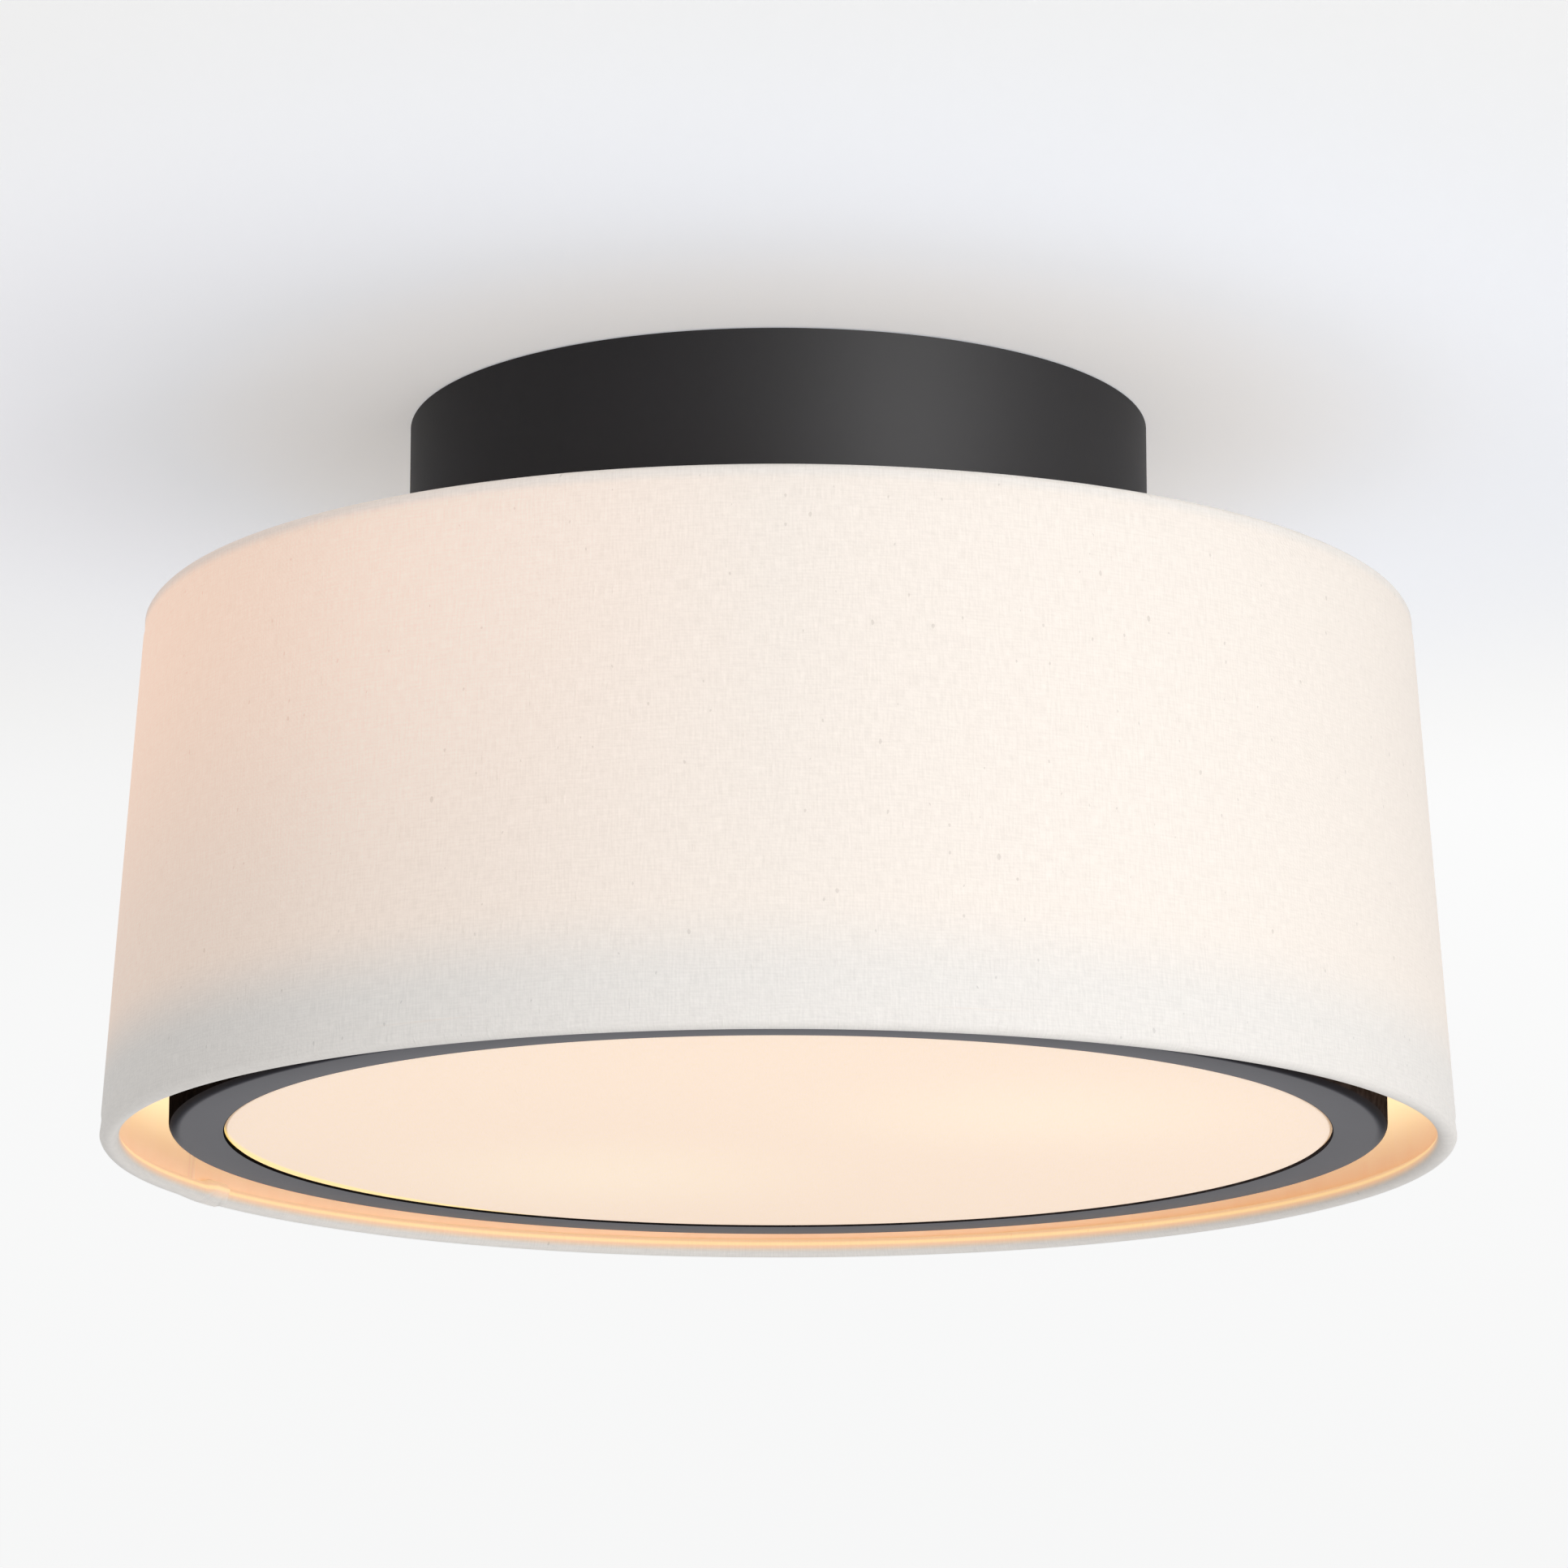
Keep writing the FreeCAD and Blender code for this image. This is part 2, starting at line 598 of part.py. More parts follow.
def socket_contact(angle):
    """Brass button on the socket's floor, just short of the lamp's tip."""
    floor = BRACKET_HALF + SOCKET_FLOOR
    face = TIP_START - BUTTON_GAP
    back = face - BUTTON_THICKNESS
    return along_lamp(turned(polygon_face([
        (0, floor), (BUTTON_STEM_R, floor), (BUTTON_STEM_R, back), (BUTTON_R, back),
        (BUTTON_R, face), (0, face),
    ])), angle)


def bulb_contact(angle):
    """Tinned button at the lamp's tip."""
    back = TIP_START + TIP_HEIGHT
    return along_lamp(turned(closed_face([
        line((TIP_R, back), (0, back)),
        line((0, back), (0, TIP_START)),
        arc((0, TIP_START), (TIP_CROWN_R, TIP_START + TIP_CROWN), (TIP_R, back)),
    ])), angle)


def bulb_insulator(angle):
    """Dark cone between the tip contact and the screw cap."""
    start = TIP_START + TIP_HEIGHT
    end = TIP_START + CAP_START
    return along_lamp(turned(polygon_face([
        (0, start), (INSULATOR_TIP_R, start), (INSULATOR_SHOULDER_R, end - INSULATOR_SHOULDER),
        (CAP_ROOT_R, end), (0, end),
    ])), angle)


def bulb_cap(angle):
    """Rolled metal screw cap, its thread drawn as round ridges at the true pitch."""
    start = TIP_START + CAP_START
    end = TIP_START + CAP_END
    first = start + CAP_PLAIN_START
    inner = CAP_ROOT_R - CAP_WALL
    edges = [line((inner, start), (CAP_ROOT_R, start)), line((CAP_ROOT_R, start), (CAP_ROOT_R, first))]
    for i in range(THREAD_RIDGES):
        low = first + i * THREAD_PITCH
        high = low + THREAD_PITCH * RIDGE_SHARE
        edges.append(arc((CAP_ROOT_R, low), (CAP_CREST_R, (low + high) / 2), (CAP_ROOT_R, high)))
        edges.append(line((CAP_ROOT_R, high), (CAP_ROOT_R, min(low + THREAD_PITCH, end))))
    edges.append(line((CAP_ROOT_R, first + THREAD_RIDGES * THREAD_PITCH), (CAP_ROOT_R, end)))
    edges.append(line((CAP_ROOT_R, end), (inner, end)))
    edges.append(line((inner, end), (inner, start)))
    return along_lamp(turned(closed_face(edges)), angle)


def bulb_housing(angle):
    """White tapered body between the cap and the dome, open at both ends."""
    neck = TIP_START + CAP_END
    end = TIP_START + HOUSING_END
    waist = neck + HOUSING_NECK_LENGTH
    middle = (waist + end) / 2
    swell = (HOUSING_NECK_R + HOUSING_RIM_R) / 2 - HOUSING_HOLLOW
    inner_neck = HOUSING_NECK_R - LAMP_WALL
    inner_rim = HOUSING_RIM_R - LAMP_WALL
    return along_lamp(turned(closed_face([
        line((inner_neck, neck), (HOUSING_NECK_R, neck)),
        line((HOUSING_NECK_R, neck), (HOUSING_NECK_R, waist)),
        arc((HOUSING_NECK_R, waist), (swell, middle), (HOUSING_RIM_R, end)),
        line((HOUSING_RIM_R, end), (inner_rim, end)),
        arc((inner_rim, end), (swell - LAMP_WALL, middle), (inner_neck, waist)),
        line((inner_neck, waist), (inner_neck, neck)),
    ])), angle)


def bulb_led_board(angle):
    """Metal disc inside the housing's rim, with a ring of light-emitting chips."""
    top = TIP_START + HOUSING_END - BOARD_DEPTH
    board = cylinder(HOUSING_RIM_R - LAMP_WALL - BOARD_CLEARANCE, top - BOARD_THICKNESS, top)
    for spot in full_turn(CHIPS):
        chip = Part.makeBox(CHIP_SIZE, CHIP_SIZE, CHIP_HEIGHT, V(-CHIP_SIZE / 2, -CHIP_SIZE / 2, top))
        chip.translate(V(CHIP_CENTRE_R * math.cos(spot), CHIP_CENTRE_R * math.sin(spot), 0))
        board = board.fuse(chip)
    return along_lamp(board, angle)


def bulb_dome(angle):
    """Milky dome, seated on the housing's rim."""
    start = TIP_START + HOUSING_END
    centre = TIP_START + GLOBE_CENTRE
    inner = GLOBE_R - LAMP_WALL
    shoulder = start + DOME_SHOULDER
    slope = math.sqrt(0.5)
    return along_lamp(turned(closed_face([
        line((HOUSING_RIM_R - LAMP_WALL, start), (HOUSING_RIM_R, start)),
        arc((HOUSING_RIM_R, start), (GLOBE_R - DOME_SHOULDER_IN, shoulder), (GLOBE_R, centre)),
        arc((GLOBE_R, centre), (GLOBE_R * slope, centre + GLOBE_R * slope), (0, centre + GLOBE_R)),
        line((0, centre + GLOBE_R), (0, centre + inner)),
        arc((0, centre + inner), (inner * slope, centre + inner * slope), (inner, centre)),
        arc((inner, centre), (inner - DOME_SHOULDER_IN, shoulder), (HOUSING_RIM_R - LAMP_WALL, start)),
    ])), angle)


def ring_channel():
    """Rolled black steel channel: a lower flange that shows, a side wall and an upper flange."""
    wall = RING_OUTER_R - RING_CORNER_R
    low = RING_BOTTOM_Z + RING_CORNER_R
    high = RING_TOP_Z - RING_CORNER_R
    inside_r = RING_CORNER_R - RING_WALL
    return turned(closed_face([
        line((RING_OPENING_R, RING_BOTTOM_Z), (wall, RING_BOTTOM_Z)),
        corner((wall, low), RING_CORNER_R, -90, 0),
        line((RING_OUTER_R, low), (RING_OUTER_R, high)),
        corner((wall, high), RING_CORNER_R, 0, 90),
        line((wall, RING_TOP_Z), (RING_TOP_OPENING_R, RING_TOP_Z)),
        line((RING_TOP_OPENING_R, RING_TOP_Z), (RING_TOP_OPENING_R, RING_TOP_Z - RING_WALL)),
        line((RING_TOP_OPENING_R, RING_TOP_Z - RING_WALL), (wall, RING_TOP_Z - RING_WALL)),
        corner((wall, high), inside_r, 90, 0),
        line((RING_OUTER_R - RING_WALL, high), (RING_OUTER_R - RING_WALL, low)),
        corner((wall, low), inside_r, 0, -90),
        line((wall, LINEN_Z), (RING_OPENING_R, LINEN_Z)),
        line((RING_OPENING_R, LINEN_Z), (RING_OPENING_R, RING_BOTTOM_Z)),
    ]))


def ring_slice(bottom, top):
    """The channel between two heights. Its three slices meet where its bends end."""
    return ring_channel().common(cylinder(SHADE_BOTTOM_R, bottom, top))


def rounded_tube(points, radius):
    """A wire along straight runs, with each corner an arc as large as its shorter run allows."""
    edges = []
    start = points[0]
    for before, at, after in zip(points, points[1:], points[2:]):
        inward = (at - before).normalize()
        outward = (after - at).normalize()
        half_turn = inward.getAngle(outward) / 2
        reach = 0.45 * min((at - before).Length, (after - at).Length)
        bend = reach / math.tan(half_turn)
        middle = at + (outward - inward).normalize() * (bend / math.cos(half_turn) - bend)
        edges.append(Part.LineSegment(start, at - inward * reach).toShape())
        edges.append(Part.Arc(at - inward * reach, middle, at + outward * reach).toShape())
        start = at + outward * reach
        print("bend radius", round(bend, 1))
    edges.append(Part.LineSegment(start, points[-1]).toShape())
    path = Part.Wire(edges)
    section = Part.Wire(Part.makeCircle(radius, points[0], points[1] - points[0]))
    tube = path.makePipeShell([section], True, False)
    plain_volume = math.pi * radius ** 2 * path.Length
    print("tube volume over section times length", round(tube.Volume / plain_volume, 4))
    return tube


def lead_pair(side):
    """The two leads of one colour: from each socket, up the nipple and over to their connector."""
    leads = []
    for end in (1, -1):
        points = [
            V(end * BRACKET_HALF, side * LEAD_EXIT_V, LEAD_EXIT_Z),
            V(end * LEAD_BEND_U, side * LEAD_EXIT_V, LEAD_EXIT_Z),
            V(end * LEAD_OFFSET, side * LEAD_OFFSET, LEAD_EXIT_Z + LEAD_BEND_RISE),
            V(end * LEAD_OFFSET, side * LEAD_OFFSET, LEAD_TURN_Z),
            V(end * (LEAD_OFFSET + LEAD_SPREAD), side * CONNECTOR_V, LEAD_TURN_Z),
            V(end * (LEAD_OFFSET + LEAD_SPREAD), side * CONNECTOR_V, CONNECTOR_MOUTH_Z + CONNECTOR_CAVITY),
        ]
        leads.append(spun(rounded_tube(points, LEAD_R), LAMP_ANGLE))
    return Part.makeCompound(leads)


def ground_lead():
    """Green lead from the strap's ground screw down to the canopy's."""
    strap_level = -STRAP_THICKNESS - GROUND_EYE_GAP
    points = [
        V(GROUND_HEAD_FLATS / 2 + LEAD_CLEARANCE, GROUND_Y, strap_level),
        V(GROUND_X, GROUND_Y, strap_level),
        V(34.0, 10.0, -18.0),
        V(44.0, -6.0, -38.0),
        V(CANOPY_GROUND_X, -GROUND_Y, -50.0),
        V(CANOPY_GROUND_X, -GROUND_Y, CANOPY_FLOOR_Z + GROUND_HEAD_HEIGHT),
    ]
    return rounded_tube(points, LEAD_R)


def wire_nuts():
    """Tapered plastic connectors, mouth down, one for each colour of lead."""
    tip = CONNECTOR_MOUTH_Z + CONNECTOR_HEIGHT
    roof = CONNECTOR_MOUTH_Z + CONNECTOR_CAVITY
    mouth_r = CONNECTOR_R - CONNECTOR_WALL
    cap = turned(polygon_face([
        (mouth_r, CONNECTOR_MOUTH_Z), (CONNECTOR_R, CONNECTOR_MOUTH_Z),
        (CONNECTOR_TIP_R, tip - CONNECTOR_WALL), (CONNECTOR_TIP_R - CONNECTOR_WALL, tip),
        (0, tip), (0, roof), (mouth_r, roof),
    ]))
    caps = []
    for side in (-1, 1):
        placed = cap.copy()
        placed.translate(V(0, side * CONNECTOR_V, 0))
        caps.append(spun(placed, LAMP_ANGLE))
    return Part.makeCompound(caps)


def make_nodes():
    upper, lower = hem_centres()
    nodes = {
        "ceiling_crossbar": ceiling_crossbar(),
        "crossbar_studs": crossbar_studs(),
        "stud_lock_nuts": stud_lock_nuts(),
        "ground_screws": ground_screws(),
        "ground_lead": ground_lead(),
        "canopy": canopy(),
        "canopy_cap_nuts": canopy_cap_nuts(),
        "insulation_pad": insulation_pad(),
        "center_nipple": center_nipple(),
        "nipple_bushings": nipple_bushings(),
        "nipple_top_washer": lock_washer(CANOPY_FLOOR_Z + LOCK_WASHER_THICKNESS),
        "nipple_top_nut": nipple_nut(CANOPY_FLOOR_Z + LOCK_WASHER_THICKNESS + NUT_THICKNESS),
        "spider_washer": washer(SPIDER_WASHER_R, NIPPLE_HOLE_R, SPIDER_BOTTOM_Z, -CANOPY_DEPTH),
        "spider_spokes": spider_spokes(),
        "shade_top_ring": shade_hoop(upper),
        "shade_bottom_ring": shade_hoop(lower),
        "shade_fabric": shade_fabric(),
        "shade_liner": shade_liner(),
        "ring_carrier": ring_carrier(),
        "carrier_magnets": carrier_magnets(),
        "socket_bracket": socket_bracket(),
        "bracket_washer": lock_washer(BRACKET_PLATE_Z),
        "bracket_nut": nipple_nut(LOWER_NUT_TOP_Z),
        "socket_screws": socket_screws(),
        "lead_black": lead_pair(1),
        "lead_white": lead_pair(-1),
        "wire_nuts": wire_nuts(),
        "ring_lower_flange": ring_slice(RING_BOTTOM_Z, RING_BOTTOM_Z + RING_CORNER_R),
        "ring_side_wall": ring_slice(RING_BOTTOM_Z + RING_CORNER_R, RING_TOP_Z - RING_CORNER_R),
        "ring_upper_flange": ring_slice(RING_TOP_Z - RING_CORNER_R, RING_TOP_Z),
        "diffuser_linen": cylinder(DIFFUSER_R, LINEN_Z, ACRYLIC_Z),
        "diffuser_disc": cylinder(DIFFUSER_R, ACRYLIC_Z, ACRYLIC_Z + DIFFUSER_ACRYLIC),
    }
    for number, angle in ((1, LAMP_ANGLE), (2, LAMP_ANGLE + 180)):
        nodes[f"socket_{number}_body"] = socket_body(angle)
        nodes[f"socket_{number}_shell"] = socket_shell(angle)
        nodes[f"socket_{number}_contact"] = socket_contact(angle)
        nodes[f"bulb_{number}_contact"] = bulb_contact(angle)
        nodes[f"bulb_{number}_insulator"] = bulb_insulator(angle)
        nodes[f"bulb_{number}_cap"] = bulb_cap(angle)
        nodes[f"bulb_{number}_housing"] = bulb_housing(angle)
        nodes[f"bulb_{number}_led_board"] = bulb_led_board(angle)
        nodes[f"bulb_{number}_dome"] = bulb_dome(angle)
    return nodes


os.makedirs("parts", exist_ok=True)
for name, shape in make_nodes().items():
    shape.exportStep(f"parts/{name}.step")
    print(name, "valid" if shape.isValid() else "NOT VALID", len(shape.Solids), round(shape.Volume))
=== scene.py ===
import math
import bmesh
import bpy
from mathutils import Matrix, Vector


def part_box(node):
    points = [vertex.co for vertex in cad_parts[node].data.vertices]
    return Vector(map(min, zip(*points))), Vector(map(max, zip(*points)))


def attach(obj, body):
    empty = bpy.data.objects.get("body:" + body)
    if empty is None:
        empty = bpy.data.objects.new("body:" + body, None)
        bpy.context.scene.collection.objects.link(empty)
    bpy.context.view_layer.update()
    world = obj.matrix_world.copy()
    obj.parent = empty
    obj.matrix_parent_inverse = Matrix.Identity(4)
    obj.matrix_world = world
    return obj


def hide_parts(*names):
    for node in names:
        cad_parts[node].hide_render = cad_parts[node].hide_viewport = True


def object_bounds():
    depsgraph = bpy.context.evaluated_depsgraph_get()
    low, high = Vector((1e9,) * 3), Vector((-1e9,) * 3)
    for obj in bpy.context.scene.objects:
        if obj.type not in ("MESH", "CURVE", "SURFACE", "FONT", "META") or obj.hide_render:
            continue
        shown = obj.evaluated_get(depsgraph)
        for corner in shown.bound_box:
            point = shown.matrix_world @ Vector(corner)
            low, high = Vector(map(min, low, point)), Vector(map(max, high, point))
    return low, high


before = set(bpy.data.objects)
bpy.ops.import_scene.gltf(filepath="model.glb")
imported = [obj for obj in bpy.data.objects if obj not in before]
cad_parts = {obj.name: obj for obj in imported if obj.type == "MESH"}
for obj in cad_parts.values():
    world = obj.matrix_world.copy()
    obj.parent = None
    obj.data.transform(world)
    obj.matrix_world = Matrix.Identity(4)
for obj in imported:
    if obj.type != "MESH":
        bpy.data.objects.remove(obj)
cad_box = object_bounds()

# ---- The view ----
# A long lens stands low in front of the light and looks up at its underside.
# Its place and angle are those that bring the rims of the canopy, shade and ring where the photo has them.
PHOTO_WIDTH_PX = 1932
FOCAL_LENGTH_PX = 8210
SENSOR_WIDTH_MM = 36.0
VIEW_POINT = (0.0016, -1.854, -0.530)
VIEW_PITCH = math.radians(12.95)

lens = bpy.data.cameras.new("long_lens")
lens.sensor_width = SENSOR_WIDTH_MM
lens.lens = FOCAL_LENGTH_PX / PHOTO_WIDTH_PX * SENSOR_WIDTH_MM
camera = bpy.data.objects.new("camera", lens)
camera.location = VIEW_POINT
camera.rotation_euler = (math.pi / 2 + VIEW_PITCH, 0, 0)
bpy.context.scene.collection.objects.link(camera)
bpy.context.scene.camera = camera
bpy.context.scene.view_settings.view_transform = "Standard"

# ---- The room ----
# A pale ceiling over the light and a pale floor well below it, each seen only from its own side, so that the
# light can be looked at from above too. They take its shadow and throw no light on it; the room's light and a
# soft lamp low on the right do that. A pale card high on the right shows only in gloss.
ROOM_HALF_WIDTH = 7.0
CEILING_GAP = 0.0004
FLOOR_Z = -2.4
CEILING_COOL_CAST = (0.965, 1.025, 1.15)
FLOOR_PAINT = (0.995, 1.0, 1.0)
COOL_CAST_REACH = (0.15, 0.44)
PAINTED_SHADOW_REACH = (0.14, 0.32)
PAINTED_SHADOW_HALF_WIDTH = 0.2
PAINTED_LIGHT_RIGHT_SHARE = 0.3
ROOM_LIGHT = 0.66
ROOM_SEEN = (0.92, 0.92, 0.95, 1)
LAMP_DISTANCE = 2.6
SOFT_LAMPS = (
    # name, azimuth from the front, rise above the light, width, watts, whether it lights matt surfaces
    ("soft_lamp", 32, -12, 1.2, 25.0, True),
    ("pale_card", 38, 14, 0.4, 108.0, False),
)


def add(tree, kind, values=None, **settings):
    """A node of a tree: its settings first, then the value or the link of each of its inputs."""
    node = tree.nodes.new(kind)
    for key, value in settings.items():
        setattr(node, key, value)
    for key, value in (values or {}).items():
        if isinstance(value, bpy.types.NodeSocket):
            tree.links.new(value, node.inputs[key])
        else:
            node.inputs[key].default_value = value
    return node


def math_node(tree, operation, first, second=0.0):
    """The result of one sum on two numbers."""
    return add(tree, "ShaderNodeMath", {0: first, 1: second}, operation=operation).outputs[0]


def spread(tree, value, low, high, new_low=0.0, new_high=1.0, kind="SMOOTHSTEP"):
    """A value stretched from one range to another and held at its ends."""
    limits = {"From Min": low, "From Max": high, "To Min": new_low, "To Max": new_high}
    return add(tree, "ShaderNodeMapRange", {"Value": value, **limits}, interpolation_type=kind).outputs[0]


def seen_directly(tree):
    """1 on rays from the view and from gloss or glass, 0 on those that light the object."""
    path = add(tree, "ShaderNodeLightPath")
    gloss = math_node(tree, "MAXIMUM", path.outputs["Is Camera Ray"], path.outputs["Is Glossy Ray"])
    return math_node(tree, "MAXIMUM", gloss, path.outputs["Is Transmission Ray"])


def blank_material(name):
    """A material with an empty tree and its output node."""
    material = bpy.data.materials.new(name)
    material.use_nodes = True
    material.node_tree.nodes.clear()
    return material, material.node_tree, add(material.node_tree, "ShaderNodeOutputMaterial")


def room_plane(name, z, facing, near, far, steady, start, end, near_paint, painted_shadow_depth):
    """A plane whose tone runs from near to far along Y, a painted lightening towards the far side; the steady
    share of it doesn't darken in shadow. Close to the light its paint can carry a painted cool cast, which
    takes out the warm light that comes off the linen there. It can also carry a painted shadow on the left,
    the side away from the lamp, with a little painted light on the right."""
    material, tree, output = blank_material(name)
    spot = add(tree, "ShaderNodeTexCoord").outputs["Object"]
    place = add(tree, "ShaderNodeSeparateXYZ", {0: spot})
    away = add(tree, "ShaderNodeVectorMath", {0: spot, 1: (0, 0, z)}, operation="DISTANCE").outputs["Value"]
    close = spread(tree, away, *COOL_CAST_REACH, 1.0, 0.0)
    # A painted shadow on the left of the light, and a little painted light on its right.
    lean = spread(tree, place.outputs["X"], -PAINTED_SHADOW_HALF_WIDTH, PAINTED_SHADOW_HALF_WIDTH,
                  -painted_shadow_depth, painted_shadow_depth * PAINTED_LIGHT_RIGHT_SHARE, "LINEAR")
    lean = math_node(tree, "MULTIPLY", spread(tree, away, *PAINTED_SHADOW_REACH, 1.0, 0.0), lean)
    tone = math_node(tree, "MULTIPLY", spread(tree, place.outputs["Y"], start, end, near, far),
                     math_node(tree, "ADD", 1.0, lean))
    paint = add(tree, "ShaderNodeMix", {0: close, 6: (*FLOOR_PAINT, 1), 7: (*near_paint, 1)},
                data_type="RGBA")
    paint = add(tree, "ShaderNodeVectorMath", {0: paint.outputs[2], "Scale": tone}, operation="SCALE")
    paint = add(tree, "ShaderNodeVectorMath", {0: paint.outputs[0], "Scale": 1 - steady}, operation="SCALE")
    shadowed = add(tree, "ShaderNodeBsdfDiffuse", {"Color": paint.outputs[0]})
    even = add(tree, "ShaderNodeEmission", {"Color": math_node(tree, "MULTIPLY", tone, steady)})
    both = add(tree, "ShaderNodeAddShader", {0: shadowed.outputs[0], 1: even.outputs[0]})
    backfacing = add(tree, "ShaderNodeNewGeometry").outputs["Backfacing"]
    front = math_node(tree, "SUBTRACT", 1.0, backfacing)
    shown = math_node(tree, "MULTIPLY", front, seen_directly(tree))
    clear = add(tree, "ShaderNodeBsdfTransparent")
    mixed = add(tree, "ShaderNodeMixShader", {0: shown, 1: clear.outputs[0], 2: both.outputs[0]})
    tree.links.new(mixed.outputs[0], output.inputs["Surface"])
    half = ROOM_HALF_WIDTH
    corners = [(-half, -half, z), (half, -half, z), (half, half, z), (-half, half, z)]
    mesh = bpy.data.meshes.new(name)
    mesh.from_pydata(corners, [], [(0, 1, 2, 3) if facing > 0 else (3, 2, 1, 0)])
    mesh.materials.append(material)
    plane = bpy.data.objects.new(name, mesh)
    bpy.context.scene.collection.objects.link(plane)


# The ceiling is painted lighter towards the far side, with a painted cool cast and a painted shadow near the
# light.
room_plane("ceiling", CEILING_GAP, facing=-1, near=1.02, far=1.19, steady=0.34, start=0.0, end=0.52,
           near_paint=CEILING_COOL_CAST, painted_shadow_depth=0.12)
room_plane("floor", FLOOR_Z, facing=1, near=1.0, far=1.0, steady=0.50, start=-1.0, end=1.0,
           near_paint=FLOOR_PAINT, painted_shadow_depth=0.0)

world = bpy.data.worlds.new("pale_room")
world.use_nodes = True
bpy.context.scene.world = world
room_light = world.node_tree.nodes["Background"]
room_light.inputs["Color"].default_value = (1, 1, 1, 1)
room_light.inputs["Strength"].default_value = ROOM_LIGHT
room_seen = add(world.node_tree, "ShaderNodeBackground", {"Color": ROOM_SEEN, "Strength": 1.0})
room_mix = add(world.node_tree, "ShaderNodeMixShader", {0: seen_directly(world.node_tree),
                                                        1: room_light.outputs[0], 2: room_seen.outputs[0]})
world.node_tree.links.new(room_mix.outputs[0], world.node_tree.nodes["World Output"].inputs["Surface"])

middle = (cad_box[0] + cad_box[1]) / 2
for name, azimuth, rise, width, watts, lights_matt in SOFT_LAMPS:
    light = bpy.data.lights.new(name, "AREA")
    light.shape = "DISK"
    light.size = width
    light.energy = watts
    lamp = bpy.data.objects.new(name, light)
    lamp.visible_diffuse = lights_matt
    across = math.cos(math.radians(rise))
    way = Vector((math.sin(math.radians(azimuth)) * across, -math.cos(math.radians(azimuth)) * across,
                  math.sin(math.radians(rise))))
    lamp.location = middle + way * LAMP_DISTANCE
    lamp.rotation_euler = way.to_track_quat("Z", "Y").to_euler()
    bpy.context.scene.collection.objects.link(lamp)

# ---- Ceiling strap, studs, lock nuts and ground screws ----
# A zinc plated steel strap goes across the outlet box on two box screws. Two No. 8 studs hang from it, each
# locked by a hex nut, and a green screw takes the ground lead.
ZINC = (0.62, 0.61, 0.585)
GREEN_CHROMATE = (0.045, 0.24, 0.10)
STUD_PITCH = 0.000794
STUD_THREAD_DEPTH = 0.00042
STUD_CHAMFER = 0.0006
STUD_CUTS = 8
STUD_FACETS = 24


def shader_group(name, inputs, outputs):
    """A node group with its named inputs, each with its first value, and its named outputs."""
    group = bpy.data.node_groups.new(name, "ShaderNodeTree")
    for label, kind, value in inputs:
        socket = group.interface.new_socket(label, in_out="INPUT", socket_type=kind)
        if value is not None:
            socket.default_value = value
    for label in outputs:
        group.interface.new_socket(label, in_out="OUTPUT", socket_type="NodeSocketFloat")
    return group, group.nodes.new("NodeGroupInput"), group.nodes.new("NodeGroupOutput")


def noise(tree, place, size, detail=2.0, roughness=0.5):
    """Soft random values whose lumps are about size metres across."""
    return add(tree, "ShaderNodeTexNoise", {"Vector": place, "Scale": 1.0 / size, "Detail": detail,
                                            "Roughness": roughness}).outputs[0]


def stretched(tree, place, x, y, z):
    """The same place with each axis scaled, so that a pattern draws out along the smallest."""
    return add(tree, "ShaderNodeMapping", {"Vector": place, "Scale": (x, y, z)}).outputs[0]


def plated_metal_group():
    """Cloudy tone, handling marks and fine scratches of a plated or bare metal."""
    group, start, end = shader_group("plated_metal", [("Place", "NodeSocketVector", None),
                                                      ("Wear", "NodeSocketFloat", 0.5)],
                                     ("Tone", "Roughness", "Height"))
    place = start.outputs["Place"]
    clouds = noise(group, place, 0.006, 4.0, 0.6)
    marks = spread(group, noise(group, place, 0.0022, 5.0, 0.7), 0.52, 0.72)
    scratches = spread(group, noise(group, stretched(group, place, 1.0, 0.05, 1.0), 0.00035, 2.0), 0.60, 0.70)
    worn = math_node(group, "MULTIPLY", math_node(group, "MAXIMUM", marks, scratches), start.outputs["Wear"])
    group.links.new(spread(group, clouds, 0.3, 0.7, 0.90, 1.04), end.inputs["Tone"])
    group.links.new(math_node(group, "ADD", spread(group, clouds, 0.3, 0.7, 0.0, 0.10),
                              math_node(group, "MULTIPLY", worn, 0.16)), end.inputs["Roughness"])
    group.links.new(math_node(group, "SUBTRACT", clouds, math_node(group, "MULTIPLY", scratches, 0.5)),
                    end.inputs["Height"])
    return group


PLATED = plated_metal_group()


def toned(tree, colour, tone):
    """One colour, lighter or darker by a tone round 1."""
    return add(tree, "ShaderNodeVectorMath", {0: colour, "Scale": tone}, operation="SCALE").outputs[0]


def principled(name, colour, roughness, metallic=0.0, **sockets):
    """A material of one principled shader, with the sockets that are the same all over set on it."""
    material = bpy.data.materials.new(name)
    material.use_nodes = True
    shader = material.node_tree.nodes["Principled BSDF"]
    shader.inputs["Base Color"].default_value = (*colour, 1)
    shader.inputs["Roughness"].default_value = roughness
    shader.inputs["Metallic"].default_value = metallic
    for label, value in sockets.items():
        shader.inputs[label.replace("_", " ")].default_value = value
    place = add(material.node_tree, "ShaderNodeTexCoord").outputs["Object"]
    return material, material.node_tree, shader, place


def bump(tree, shader, height, distance, strength=1.0):
    """Raises a surface's grain by height times distance."""
    relief = add(tree, "ShaderNodeBump", {"Height": height, "Distance": distance, "Strength": strength})
    tree.links.new(relief.outputs[0], shader.inputs["Normal"])


